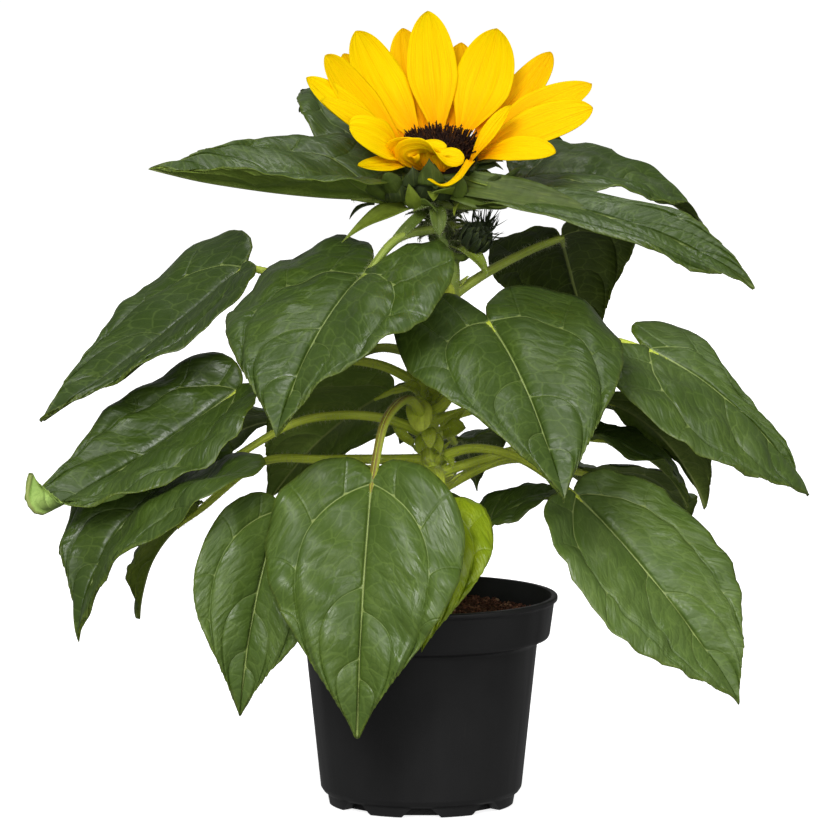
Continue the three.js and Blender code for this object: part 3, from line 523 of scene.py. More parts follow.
def half_blade(leaf, length, sign, rng):
    """One half as two grids: from the midrib to the margin, and outside the strong side vein."""
    half = 0 if sign < 0 else 1
    lobe = leaf["lobe"] * leaf.get("lobes", (1, 1))[half]
    form = lobe, leaf.get("widest", WIDEST), leaf.get("full", 0.16), leaf.get("notch", 0.06)
    width = leaf["width"] * leaf.get("halves", (1, 1))[half]
    phase = rng.random() * CYCLE
    ox, oy = leaf_outline(np.linspace(0, 1, 400), *form)
    ox, oy = ox * length, oy * width

    def edge(u):
        """The toothed margin."""
        x, y = leaf_outline(u, *form)
        x, y = x * length, y * width
        dx, dy = np.gradient(x), np.gradient(y)
        size = np.maximum(np.hypot(dx, dy), 1e-9)
        run = run_along(np.stack([x, y], 1))
        saw = np.mod(run / TOOTH_PITCH + rng.random(), 1) * TOOTH
        saw = saw * np.clip(8 * u, 0, 1) * np.clip(7 * (1 - u), 0, 1) * rng.uniform(0.5, 1.3, len(u))
        return x - dy / size * saw, y + dx / size * saw

    def to_vein(across, feet):
        """Distance to the nearest vein between the outer two."""
        return np.min(np.abs(across[None] - feet[:, None])[1:-1], axis=0)

    def bulge(number, feet, out, start, end):
        """Swelling between two veins, less near the midrib and the margin and in narrow gaps."""
        part = (number - np.floor(number))[:, None]
        gap = np.diff(feet, axis=0)[np.minimum(np.floor(number).astype(int), len(feet) - 2)]
        window = np.clip(out / start, 0, 1)[None] * np.clip((1 - out) / end, 0, 1)[None]
        return (4 * part * (1 - part)) ** 0.7 * window * np.clip(gap / 14, 0, 1)

    def hollow(away, share):
        """The hollow along a strong vein, deepest halfway along it."""
        return HOLLOW * np.exp(-(away / 6) ** 2) * (4 * share * (1 - share)) ** 0.5

    vein_rows = VEIN_ROWS[half]
    row = np.arange(ROWS)
    t = row / (ROWS - 1)
    p = np.linspace(0, 1, COLS)
    v = p[None] ** 1.5
    on_margin = STRONG + (1 - STRONG) * t
    ex, ey = edge(on_margin)
    ex[-1], ey[-1] = length, 0
    ex, ey = ex[:, None], ey[:, None]
    foot = ((VEIN_FOOT + (1 - VEIN_FOOT) * t**1.1) * length)[:, None]
    bow = (VEIN_BOW * width * (1 - t) ** 0.8)[:, None]
    x = cubic(foot, foot + VEIN_LEAD * (ex - foot), foot + 0.88 * (ex - foot), ex, v)
    y = cubic(0, bow, 1.2 * ey, ey, v)
    across = run_of(x, y, 0)
    feet = across[vein_rows]
    veins = np.minimum(y / (0.40 - 0.22 * np.clip(x / length, 0, 1)),
                       to_vein(across, feet) / 0.3 + 1.1 + 0.6 * v)
    veins = np.minimum(veins, across / 0.35 + 0.4 + 2.0 * v)
    number = np.interp(row, vein_rows, np.arange(len(vein_rows)))
    lift = 1.25 * bulge(number, feet, p, 0.12, 0.12) - hollow(across, v)
    first = (x, y, veins, lift, on_margin[:, None], grid(ROWS, COLS))

    bx, by = edge(STRONG * p)
    bx[0], by[0] = 0, 0
    bx[-1], by[-1] = ex[0, 0], ey[0, 0]
    rx, ry = x[0], y[0]
    w = np.linspace(0, 1, BACK) ** 1.3
    bend = 0.13 * length * (p * (1 - p))[:, None]
    x = cubic(rx[:, None], (2 * rx + bx)[:, None] / 3 - bend, (rx + 2 * bx)[:, None] / 3 - 0.6 * bend,
              bx[:, None], w[None])
    y = ry[:, None] + (by - ry)[:, None] * w[None]
    across = run_of(x, y, 0)
    feet = across[::(COLS - 1) // BRANCH_VEINS]
    along = run_of(x, y, 1)
    veins = np.minimum(along / 0.35 + 0.4 + 2.0 * v.T,
                       to_vein(across, feet) / 0.3 + 1.2 + 0.6 * w[None])
    veins = np.minimum(veins, np.abs(y) / 0.6)
    lift = 1.1 * bulge(p * BRANCH_VEINS, feet, w, 0.2, 0.3) - hollow(along, v.T)
    second = (x, y, veins, lift, STRONG * p[:, None], grid(COLS, BACK))

    for x, y, veins, lift, at_margin, tris in (first, second):
        away = np.sqrt(np.min((x[..., None] - ox) ** 2 + (y[..., None] - oy) ** 2, axis=-1))
        near = 1 - np.clip(away / MARGIN, 0, 1)
        outer = 1 - np.clip(away / (0.3 * width), 0, 1)
        turn = TAU * WAVES * at_margin
        ripple = leaf.get("wave", 1.2) * np.sin(turn + phase) * outer**1.6
        ripple = ripple + 0.5 * np.sin(3.1 * turn + 2 * phase) * outer**3
        rung = rung_of(leaf, x, y)[0] + 0.4 * half
        quilt = np.abs(np.sin(math.pi * rung)) ** 0.8 - 0.5
        lift = lift + ripple + RUNG_RISE * quilt * np.clip(y / 4, 0, 1) * np.clip(away / 7, 0, 1)
        yield x.ravel(), sign * y.ravel(), veins.ravel(), lift.ravel(), near.ravel(), tris


def shape_of(leaf):
    """Length of a blade, what bends its flat points into place, and the way its base faces."""
    base, tip = np.array(leaf["base"], float), np.array(leaf["tip"], float)
    length = np.linalg.norm(tip - base)
    along = (tip - base) / length
    length = length * leaf.get("reach", 1)
    face = facing(*leaf["face"])
    up = unit(face - along * (face @ along))
    across = np.cross(along, up)

    def place(x, y):
        s = x / length
        y = np.where(y < 0, y * (1 - leaf.get("squeeze", 0) * np.clip((s - 0.08) / 0.3, 0, 1)), y)
        share = np.clip(np.abs(y) / (leaf["width"] / 2), 0, 1)
        fold = np.radians(np.where(y < 0, leaf["fold"][0], leaf["fold"][1]))
        rise = np.abs(y) * np.sin(fold)
        rise = rise + leaf.get("camber", 0.03) * leaf["width"] * 4 * share * (1 - share)
        side = y * np.cos(fold)
        rise, side = turned_by(rise, side, np.radians(leaf.get("turn", 0) * np.clip(s, 0, 1)))
        rise = rise + leaf["arch"] * 4 * s * (1 - s)
        side = side + leaf.get("sway", 0) * 4 * s * (1 - s) + leaf.get("swing", 0) * s**3
        if "roll" in leaf:
            start, radius, skew, most = leaf["roll"]
            lead, lean = math.cos(math.radians(skew)), math.sin(math.radians(skew))
            beyond = (x - start * length) * lead + side * lean
            angle = np.clip(beyond / radius, 0, math.radians(most))
            rest = np.maximum(beyond, 0) - radius * angle
            shift = (radius - rise) * np.sin(angle) + rest * np.cos(angle) - beyond
            shift = np.where(beyond > 0, shift, 0)
            rise = rise * np.cos(angle) + radius * (1 - np.cos(angle)) + rest * np.sin(angle)
            x, side = x + shift * lead, side + shift * lean
        return base + x[:, None] * along + rise[:, None] * up + side[:, None] * across

    return length, place, up


def add_blade(heap, leaf, seed):
    """A whole blade: its halves welded along the midrib, quilted, veined and given two sides."""
    rng = np.random.default_rng(seed)
    length, place, _ = shape_of(leaf)
    halves = [part for sign in (-1, 1) for part in half_blade(leaf, length, sign, rng)]
    shift = np.cumsum([0] + [len(p[0]) for p in halves[:-1]])
    tris = np.concatenate([p[5] + s for p, s in zip(halves, shift)])
    x, y, veins, lift, near = (np.concatenate([p[i] for p in halves]) for i in range(5))
    flat = place(x, y)
    for _ in range(SWELLS):
        turn, _, phase = rng.random(3) * CYCLE
        way = (np.cos(turn) * x + np.sin(turn) * y) * CYCLE / rng.uniform(14, 50)
        lift = lift + SWELL * np.sin(way + phase) * np.clip(np.abs(y) / 20, 0, 1)
    _, firsts, weld = np.unique(np.round(flat, 3), axis=0, return_index=True, return_inverse=True)
    joined = weld.reshape(-1)[tris]
    a, b, c = joined.T
    joined = joined[(a != b) & (b != c) & (a != c)]
    points = flat[firsts]
    x, y, veins, lift, near = (k[firsts] for k in (x, y, veins, lift, near))
    a, b, c = joined.T
    wrong = (x[b] - x[a]) * (y[c] - y[a]) > (y[b] - y[a]) * (x[c] - x[a])
    joined[wrong] = joined[wrong][:, ::-1]
    normals = point_normals(points, joined)
    inner = 1 - near * 0.6
    groove = GROOVE * np.exp(-(veins**2) / 5) * inner
    rib = (MIDRIB * (1 - 0.8 * np.clip(x / length, 0, 1)) * np.exp(-(y / 1.3) ** 2)
           + VEIN_RIB * np.exp(-(veins**2) / 8) * inner)
    thick = THICKNESS * (1 - 0.5 * near**8)
    top = points + normals * (lift - groove + RAISED)[:, None]
    under = points + normals * (lift - thick - rib + RAISED)[:, None]
    n = len(points)
    edges = np.concatenate([joined[:, [0, 1]], joined[:, [1, 2]], joined[:, [2, 0]]])
    _, index, counts = np.unique(np.sort(edges, axis=1), axis=0, return_index=True, return_counts=True)
    rim = edges[index[counts == 1]]
    tris = np.concatenate([
        joined, joined[:, ::-1] + n,
        np.stack([rim[:, 1], rim[:, 0], rim[:, 0] + n], 1),
        np.stack([rim[:, 1], rim[:, 0] + n, rim[:, 1] + n], 1)])
    slot = np.repeat([0, 1, 1], [len(joined), len(joined), 2 * len(rim)])
    shade = np.stack([np.clip(veins / MARGIN, 0, 1), near, np.full(n, leaf["tint"] / 2)], 1)
    shade_under = shade * [1, 1, 0] + [0, 0, leaf.get("under", leaf["tint"]) / 2]
    uv = np.tile(np.stack(rung_of(leaf, x, y), 1) + seed * 7, (2, 1))
    heap.add(np.vstack([top, under]), tris, np.vstack([shade, shade_under]), uv, slot)


# Stem, stalks, shoots and bud.

STEM_LINE = [
    (7, 6, 92.3), (7, 6, 118), (7, 6, 144), (3, 7, 177), (3, 8, 199), (9, 10, 225), (14, 10, 249),
    (12, 10, 267), HEAD - HEAD_AXIS * (HEAD_DEPTH + 12), HEAD - HEAD_AXIS * (HEAD_DEPTH - 1),
]
STEM_RADIUS = 4.8      # at its foot, what it loses toward the bloom, and the flare at the soil
STEM_TAPER = 0.8
STEM_FLARE = 1.2
NODE_SWELLING = 0.55   # where a stalk leaves the stem, and the breadth of that swelling
NODE_BREADTH = 3.0
STEM_MOST = 6.3
STALK_RADIUS = 2.7     # at the stem, what it loses toward the blade, and the flare at its foot
STALK_TAPER = 0.9
STALK_FLARE = 0.9
STALK_ROWS = 46
STALK_SIDES = 20
STALK_HAIRS = 9        # hairs for each millimetre of a stalk
LEAFLET_COLS = 9
LEAFLET_HAIRS = 60     # hairs on each side of a shoot's leaf, and on the underside of a bract
BRACT_HAIRS = 30
CROWN_LEAFLETS = 70    # strewn round the top of the stem, between these heights
CROWN_RANGE = (262, 291)
SKIN = 3.6             # how far from the stem's middle line a small leaf starts
stem_line = spline(STEM_LINE, 180)
stem_line[0][2] = SOIL_TOP - 1.5


def stem_at(height):
    """The point of the stem's middle line at a height."""
    return np.array([np.interp(height, stem_line[:, 2], stem_line[:, k]) for k in range(3)])


def hairs_on(heap, verts, normals, count, length, thickness, rng, low=0.0):
    """Hairs strewn over a limb above a height."""
    pick = rng.integers(0, len(verts) - 2, count)
    pick = pick[verts[pick][:, 2] > low]
    roots = verts[pick] + rng.normal(0, 0.4, (len(pick), 3)) * 0.5
    add_hairs(heap, roots, normals[pick], length * rng.uniform(0.4, 1.2, len(pick)), thickness, rng)


def grow_stem(heap, hairs):
    """The ribbed stem, thicker at its foot and where stalks leave it."""
    t = np.linspace(0, 1, len(stem_line))
    radius = STEM_RADIUS - STEM_TAPER * t + STEM_FLARE * np.exp(-t * 18)
    for leaf in LEAVES.values():
        away = (stem_line[:, 2] - leaf["root"]) / NODE_BREADTH
        radius = radius + NODE_SWELLING * np.exp(-(away**2))
    verts, tris, normals, uv = limb(stem_line, np.minimum(radius, STEM_MOST), sides=40, ribs=9,
                                    depth=0.035)
    fresh = np.interp(verts[:, 2], [90, 150, 215, 262], [0.7, 1.0, 0.8, 0.1])
    heap.add(verts, tris, fresh[:, None] * [0, 0, 1], uv)
    hairs_on(hairs, verts, normals, count=4200, length=2.8, thickness=0.05,
             rng=np.random.default_rng(3), low=SOIL_TOP + 3)


def grow_stalk(leaf, heap, hairs, rng):
    """A leaf stalk, grooved above, that runs out under the midrib of its blade."""
    base = np.array(leaf["base"], float)
    _, place, up = shape_of(leaf)
    midrib = place(np.array([4.0, 11.0]), np.zeros(2))
    line = spline([stem_at(leaf["root"]), *leaf["via"], base - up], STALK_ROWS)
    under = spline([line[-2], line[-1], midrib[0] - up * 1.1, midrib[1] - up * 0.9], 10)[4:]
    line = np.vstack([line, under])
    t = np.linspace(0, 1, len(line))
    thick = STALK_RADIUS - STALK_TAPER * t + STALK_FLARE * np.exp(-t * 16)
    thick = thick * np.clip((1 - t) / 0.16, 0.28, 1) ** 0.5
    verts, tris, normals, uv = limb(line, thick, STALK_SIDES, ribs=5, depth=0.03, channel=0.2)
    fresh = np.interp(leaf["root"], [190, 262], [1.0, 0.3])
    run = np.append(np.repeat(t, STALK_SIDES), [0, 1])
    heap.add(verts, tris, run[:, None] * [1, 0, 0] + [0, leaf.get("red", 0.15), fresh], uv)
    count = int(STALK_HAIRS * np.linalg.norm(line[-1] - line[0]))
    hairs_on(hairs, verts, normals, count, length=2.4, thickness=0.045, rng=rng)


def add_leaflet(heap, base, tip, face, width, seed, arch=-2.0, curl=0.0, tint=0.6, taper=0.75,
                rows=14, foot=0.45):
    """A small pointed leaf: a bract, a sepal or a shoot's leaf. Gives the places for its hairs."""
    rng = np.random.default_rng(seed)
    base, tip = np.array(base, float), np.array(tip, float)
    length = np.linalg.norm(tip - base)
    along = (tip - base) / length
    up = unit(face - along * (face @ along))
    across = np.cross(along, up)
    s = np.linspace(0, 1, rows)[:, None]
    v = np.linspace(-1, 1, LEAFLET_COLS)[None]
    half = width / 2 * (foot + 1.6 * s - 0.4 * s * s) * np.clip(1 - s, 0, 1) ** taper / 0.78
    side = half * v
    rise = (np.abs(v) ** 1.5 * half * 0.35 + arch * 4 * s * (1 - s) + curl * s**3
            + 0.25 * np.sin(s * 9 + rng.random() * 6) * v * half * 0.3)
    top = base + s[..., None] * length * along + rise[..., None] * up + side[..., None] * across
    thick = 0.45 + 0.5 * (1 - s) * np.exp(-(v * 3) ** 2)
    verts, tris = sheet(top, top - thick[..., None] * up)
    run = np.broadcast_to(s, rise.shape).ravel()
    out = np.broadcast_to(np.abs(v), rise.shape).ravel()
    shade = np.stack([np.clip(out * 1.2, 0, 1), run, np.full(run.size, tint)], 1)
    uv = np.stack([side.ravel(), run * length], 1) / UV_LENGTH
    heap.add(verts, tris, np.tile(shade, (2, 1)), np.tile(uv, (2, 1)) + seed)
    edge = np.concatenate([top[:, 0], top[:, -1]])
    return edge, np.repeat([-across, across], rows, 0), top.reshape(-1, 3), up


def grow_shoots(heap, hairs):
    """Small hairy leaflets in the axils, along the stem and above it."""
    rng = np.random.default_rng(11)

    def sprout(base, tip, face, width, seed, **more):
        edge, ways, top, up = add_leaflet(heap, base, tip, np.array(face, float), width, seed, **more)
        add_hairs(hairs, edge, ways, rng.uniform(0.8, 2.1, len(edge)), thickness=0.07, rng=rng)
        for side in (-1, 1):
            pick = rng.integers(0, len(top), LEAFLET_HAIRS)
            add_hairs(hairs, top[pick] + up * (0.1 if side > 0 else -0.5),
                      np.repeat(side * up[None], LEAFLET_HAIRS, 0),
                      rng.uniform(0.6, 1.8, LEAFLET_HAIRS), thickness=0.06, rng=rng)

    for k, (height, turn, length, rise, width) in enumerate(SHOOTS):
        for j in range(3):
            out = level_way(math.radians(turn + (j - 1) * 48))
            e = math.radians(rise + (8, -6, 12)[j])
            root = stem_at(height + (j % 2) * 2) + out * 3.4
            way = (out * math.cos(e) + UP * math.sin(e)) * length * (1.0, 1.15, 0.8)[j]
            sprout(root, root + way, UP - out * 0.9, width * 0.9, 20 + 3 * k + j,
                   arch=-1.5, curl=-2.5, tint=0.95)
    for k, leaf in enumerate(LEAVES.values()):
        root = stem_at(leaf["root"])
        out = unit(np.array(leaf["via"][0], float) - root)
        for turn in (-1, 1):
            side = np.cross(out, UP) * turn
            base = root + out * SKIN + side * 1.2 + UP * 2.5
            size = rng.uniform(6, 10)
            way = out * 0.8 + side * rng.uniform(0.3, 0.9) + UP * rng.uniform(0.5, 1.4)
            sprout(base, base + unit(way) * size, UP - out, size * 0.45, 300 + 2 * k + turn,
                   arch=-1, curl=rng.uniform(-2, 1), tint=rng.uniform(0.7, 1.0))
    for k in range(CROWN_LEAFLETS):
        height = rng.uniform(*CROWN_RANGE)
        a, e = rng.uniform(0, TAU), rng.uniform(-0.5, 0.9)
        out = level_way(a)
        base = stem_at(height) + out * SKIN
        way = out * math.cos(e) + UP * math.sin(e)
        sprout(base, base + way * rng.uniform(9, 15), UP - out * 0.6, rng.uniform(4, 8), 500 + k,
               arch=rng.uniform(-1, 3), curl=rng.uniform(-3, 3), tint=rng.uniform(0.15, 0.6))
    for k, (base, tip, face, width, more) in enumerate(SPROUTS):
        sprout(base, tip, face, width, 400 + k, **more)


def grow_bud(heap, spikes):
    """The side bud: a dark knob wrapped in narrow spiky bracts, on a stalk of its own."""
    elbow = BUD_AT - BUD_AXIS * BUD_LENGTH * 0.8
    line = spline([stem_at(BUD_ROOT), elbow, BUD_AT], 26)
    verts, tris, normals, uv = limb(line, np.full(len(line), BUD_STALK), sides=14, ribs=5, depth=0.04)
    heap.add(verts, tris, (0.6, 0.2, 0.5), uv)
    rng = np.random.default_rng(5)
    hairs_on(spikes, verts, normals, count=160, length=2.0, thickness=0.06, rng=rng)
    side = unit(np.cross(BUD_AXIS, UP))
    back = np.cross(BUD_AXIS, side)
    for ring in range(4):
        for k in range(9):
            a = TAU * (k + ring * 0.5) / 9
            out = side * math.cos(a) + back * math.sin(a)
            low = BUD_AT + BUD_AXIS * (-5.5 + ring * 1.6) + out * (4.6 - ring * 0.7)
            high = BUD_AT + BUD_AXIS * (4.5 + ring * 1.5) + out * (6.4 - ring * 1.9)
            edge, ways, _, up = add_leaflet(heap, low, high, out, width=4.6, seed=60 + ring * 9 + k,
                                            arch=1.6, curl=0.8, tint=0.02, rows=9)
            add_hairs(spikes, edge, ways + up * 0.8, rng.uniform(1.0, 2.4, len(edge)),
                      thickness=0.06, rng=rng, spread=0.25)
            way = out * rng.uniform(0.3, 0.9) + BUD_AXIS * rng.uniform(0.7, 1.3)
            way = way + rng.normal(0, 0.12, 3)
            for size in rng.uniform(4, 10, 2):
                way = unit(way + rng.normal(0, 0.25, 3))
                spike = spline([high - out, high + way * size * 0.4, high + way * size + UP], 6)
                verts, tris, _, uv = limb(spike, SPIKE_RADII, sides=5)
                heap.add(verts, tris, (0.5, 0.5, 0.03), uv)


# The bloom.

PETAL_ROWS, PETAL_COLS = 41, 17
PETAL_THICKNESS = 0.35
PETAL_TWIST = 8
FLORETS = 600
FLORET_RADII = np.array([0.34, 0.44, 0.4, 0.1])
PRONG_RADII = np.array([0.2, 0.16, 0.05])
SHADED = (215, 325)    # the side of the disc with shorter florets


def on_head(radius, around, height):
    """A point of the bloom, from its axis, round it and along it."""
    a = math.radians(around)
    return (HEAD + HEAD_RIGHT * radius * math.cos(a) + HEAD_BACK * radius * math.sin(a)
            + HEAD_AXIS * height)


def petal_outline(u, blunt):
    """Half an outline, from the foot at u = 0 to the tip at u = 1."""
    low, high = np.clip(2 * u, 0, 1), np.clip(2 * u - 1, 0, 1)
    x = np.where(u < 0.5, cubic(0, 0.16, 0.3, 0.5, low), cubic(0.5, 0.76, 0.95, 1, high))
    y = np.where(u < 0.5, cubic(0.09, 0.13, 0.42, 0.5, low),
                 cubic(0.5, 0.5, 0.34 + 0.12 * blunt, 0.015 + 0.1 * blunt, high))
    return x, y


def add_petal(heap, petal, seed):
    """A ray petal with a crease on each side of its middle, laid along a straight or bent line."""
    rng = np.random.default_rng(seed)
    base = on_head(RAY_RADIUS - 1.2, petal["around"], -2.6)
    out = on_head(1, petal["around"], 0) - HEAD
    tip = np.array(petal["tip"], float)
    length = np.linalg.norm(tip - base)
    face = HEAD_AXIS - out * 0.8 + np.array([0, -petal.get("twist", 0), 0])
    face = np.array(petal.get("face", face), float)
    x, y = petal_outline(np.linspace(0, 1, PETAL_ROWS), petal.get("blunt", 0))
    if "via" in petal:
        middle = spline([base, *petal["via"], tip], 200)[np.clip((x * 199).astype(int), 0, 199)]
    else:
        along = (tip - base) / length
        up = unit(face - along * (face @ along))
        middle = (base + (x * length)[:, None] * along
                  + (petal["arch"] * 4 * x * (1 - x))[:, None] * up)
    along = unit(np.gradient(middle, axis=0))
    face_tip = np.array(petal.get("face_tip", face), float)
    x = x[:, None]
    faces = face + (face_tip - face) * x**1.5
    up = unit(faces - along * (faces * along).sum(1, keepdims=True))
    across = np.cross(along, up)
    v = np.linspace(-1, 1, PETAL_COLS)[None]
    half = y[:, None] * petal["width"]
    side = half * v
    turn = np.radians(rng.uniform(-PETAL_TWIST, PETAL_TWIST) * x)
    rise = petal.get("cup", 0.16) * half * np.abs(v) ** 1.6 * (1 - 0.5 * x)
    ribs = 0.17 * np.cos(v * math.pi * 4.5) * (1 - np.abs(v) ** 4)
    crease = -0.45 * np.exp(-((np.abs(v) - 0.22) / 0.07) ** 2) * np.clip(4 * x * (1.1 - x), 0, 1)
    wave = petal.get("wave", 0.5) * np.sin(x * rng.uniform(6, 9) + v * 2 + rng.random() * 6)
    lift = ribs * np.clip(half / 4, 0, 1) + crease + wave * v**2
    rise, side = turned_by(rise, side, turn)
    rise = rise + lift + petal.get("curl", 0) * np.clip((x - 0.6) / 0.4, 0, 1) ** 2
    top = middle[:, None] + rise[..., None] * up[:, None] + side[..., None] * across[:, None]
    verts, tris = sheet(top, top - up[:, None] * PETAL_THICKNESS)
    x, v = (np.broadcast_to(k, rise.shape).ravel() for k in (x, v))
    shade = np.stack([x, np.abs(v), np.full(x.size, petal.get("deep", 0))], 1)
    uv = np.stack([v * 0.5 + 0.5 + seed * 1.7, x], 1)
    heap.add(verts, tris, np.tile(shade, (2, 1)), np.tile(uv, (2, 1)))


def grow_disc(heap):
    """The dark disc: a low dome packed with small upright florets, tallest at its edge."""
    rng = np.random.default_rng(21)
    rows, cols = 16, 64
    r = np.linspace(0.02, 1, rows) * (DISC_RADIUS - 0.4)
    a = circle(cols)
    height = 1.6 - 1.4 * (r / DISC_RADIUS) ** 4
    dome = (HEAD + (r[:, None] * np.cos(a))[..., None] * HEAD_RIGHT
            + (r[:, None] * np.sin(a))[..., None] * HEAD_BACK + height[:, None, None] * HEAD_AXIS)
    foot = dome[-1] - HEAD_AXIS * 4.6
    centre = HEAD - HEAD_AXIS * 4.4
    verts = np.vstack([dome.reshape(-1, 3), foot, centre, HEAD + HEAD_AXIS * 1.6])
    last, ring = rows * cols, np.arange(cols)
    after = (ring + 1) % cols
    tris = np.concatenate([
        grid(rows + 1, cols, loop=True),
        np.stack([last + after, last + ring, np.full(cols, last + cols)], 1),
        np.stack([ring, after, np.full(cols, last + cols + 1)], 1)])
    heap.add(verts, outward(verts, tris), (0.1, 0, 0.3))
    for k in range(FLORETS):
        share = math.sqrt((k + 0.5) / FLORETS)
        around = math.degrees(k * GOLDEN_ANGLE)
        root = on_head(share * (DISC_RADIUS - 1.1), around, 1.2 - 1.5 * share**4)
        out = on_head(1, around, 0) - HEAD
        tall = (1.6 + 3.6 * share**2.2) * rng.uniform(0.8, 1.25)
        if SHADED[0] < around % 360 < SHADED[1]:
            tall = tall * 0.5
        lean = 0.12 + 0.4 * share + rng.normal(0, 0.1)
        way = unit(HEAD_AXIS + out * lean * 0.5 + rng.normal(0, 0.1, 3))
        way_end = unit(HEAD_AXIS * 0.7 + out * lean * 1.6 + rng.normal(0, 0.25, 3))
        neck = root + way * tall * 0.8
        line = np.stack([root - way, root + way * tall * 0.55, neck + way_end * 0.3 * tall,
                         neck + way_end * 0.55 * tall])
        verts, tris, _, uv = limb(line, FLORET_RADII, sides=5)
        heap.add(verts, tris, (0.2 + 0.6 * share, rng.random(), rng.random()), uv)
        if share > 0.45:
            for turn in (-1, 1):
                apart = turn * np.cross(way_end, HEAD_AXIS) * 1.2
                tip_way = unit(way_end + apart + rng.normal(0, 0.3, 3))
                prong = line[2] + np.stack([0 * way, tip_way * 0.7, tip_way * 1.2 - way * 0.4])
                verts, tris, _, uv = limb(prong, PRONG_RADII, sides=4)
                heap.add(verts, tris, (0.9, rng.random(), rng.random()), uv)


def grow_receptacle(heap, spikes):
    """Green cup under the bloom, with rows of pointed hairy bracts."""
    profile = np.array([(4, -19.5), (5.5, -17.6), (8.5, -15.5), (12, -13.4), (15, -11.6), (17.6, -9.4),
                        (18.4, -7.4), (18.2, -5.8), (17, -4.9), (12, -4.8), (4, -4.8)], float)
    line = HEAD + HEAD_AXIS * profile[:, 1:2]
    a = circle(48)
    ring = (np.cos(a)[:, None] * HEAD_RIGHT + np.sin(a)[:, None] * HEAD_BACK)
    verts, tris = capped(line[:, None] + profile[:, 0][:, None, None] * ring, line[0], line[-1])
    heap.add(verts, tris, (0.4, 0.2, 0.3))
    rng = np.random.default_rng(8)
    for row, (count, radius, low, reach, width, drop) in enumerate(BRACT_ROWS):
        for j in range(count):
            around = 360 * (j + 0.5 * row) / count + rng.uniform(-10, 10)
            if row == 2 and 200 < around % 360 < 320:
                continue
            size = reach * rng.uniform(0.75, 1.25)
            base = on_head(radius, around, low)
            tip = on_head(radius + size, around + rng.uniform(-14, 14),
                          low + drop + rng.uniform(-3.5, 3.5))
            leafy_edge(heap, spikes, rng, base, tip, HEAD_AXIS, width * rng.uniform(0.8, 1.15),
                       100 + row * 20 + j, arch=rng.uniform(0.5, 2.5), curl=rng.uniform(-3.5, 3.5),
                       tint=rng.uniform(0.1, 0.6))
    for j, (base, tip, face, width, more) in enumerate(BRACTS):
        leafy_edge(heap, spikes, rng, base, tip, np.array(face, float), width, 180 + j, **more)


def leafy_edge(heap, spikes, rng, base, tip, face, width, seed, **more):
    """A bract with fine hairs along its edge and on its underside."""
    edge, ways, top, up = add_leaflet(heap, base, tip, face, width, seed, **more)
    add_hairs(spikes, edge, ways, rng.uniform(0.6, 1.6, len(edge)), thickness=0.045, rng=rng,
              spread=0.5)
    pick = rng.integers(0, len(top), BRACT_HAIRS)
    add_hairs(spikes, top[pick] - up * 0.5, np.repeat(-up[None], BRACT_HAIRS, 0),
              rng.uniform(0.5, 1.3, BRACT_HAIRS), thickness=0.045, rng=rng)


# Pot and soil.

SOIL_REACH = 59.0
CRUMBS = 2300
CRUMB_SIZES = (0.5, 0.8, 1.1, 1.6)
CRUMB_SHARES = (0.4, 0.33, 0.2, 0.07)
SHORT_EDGE = 1.2       # longer than an edge of the ball that a crumb is made from
NOTCH_HALVES = (10.5, 4.5)   # half the width of a drain notch at its foot and at its top
POT_SIDES = 192


def rounded(profile, radius=0.5):
    """The profile with each inner corner cut to a small curve."""
    points = [np.array(p, float) for p in profile]
    made = [points[0]]
    for before, corner, after in zip(points, points[1:], points[2:]):
        a, b = before - corner, after - corner
        reach = min(radius, np.linalg.norm(a) * 0.4, np.linalg.norm(b) * 0.4)
        start, end = corner + unit(a) * reach, corner + unit(b) * reach
        made += [start, (start + 2 * corner + end) / 4, end]
    return np.array(made + [points[-1]])


def turned(profile, cols):
    """A closed solid turned round +Z, whose profile starts and ends on the axis."""
    ring = np.array([level_way(a) for a in circle(cols)])
    inner = profile[1:-1]
    rings = inner[:, 0][:, None, None] * ring + inner[:, 1][:, None, None] * UP
    return capped(rings, UP * profile[0][1], UP * profile[-1][1])


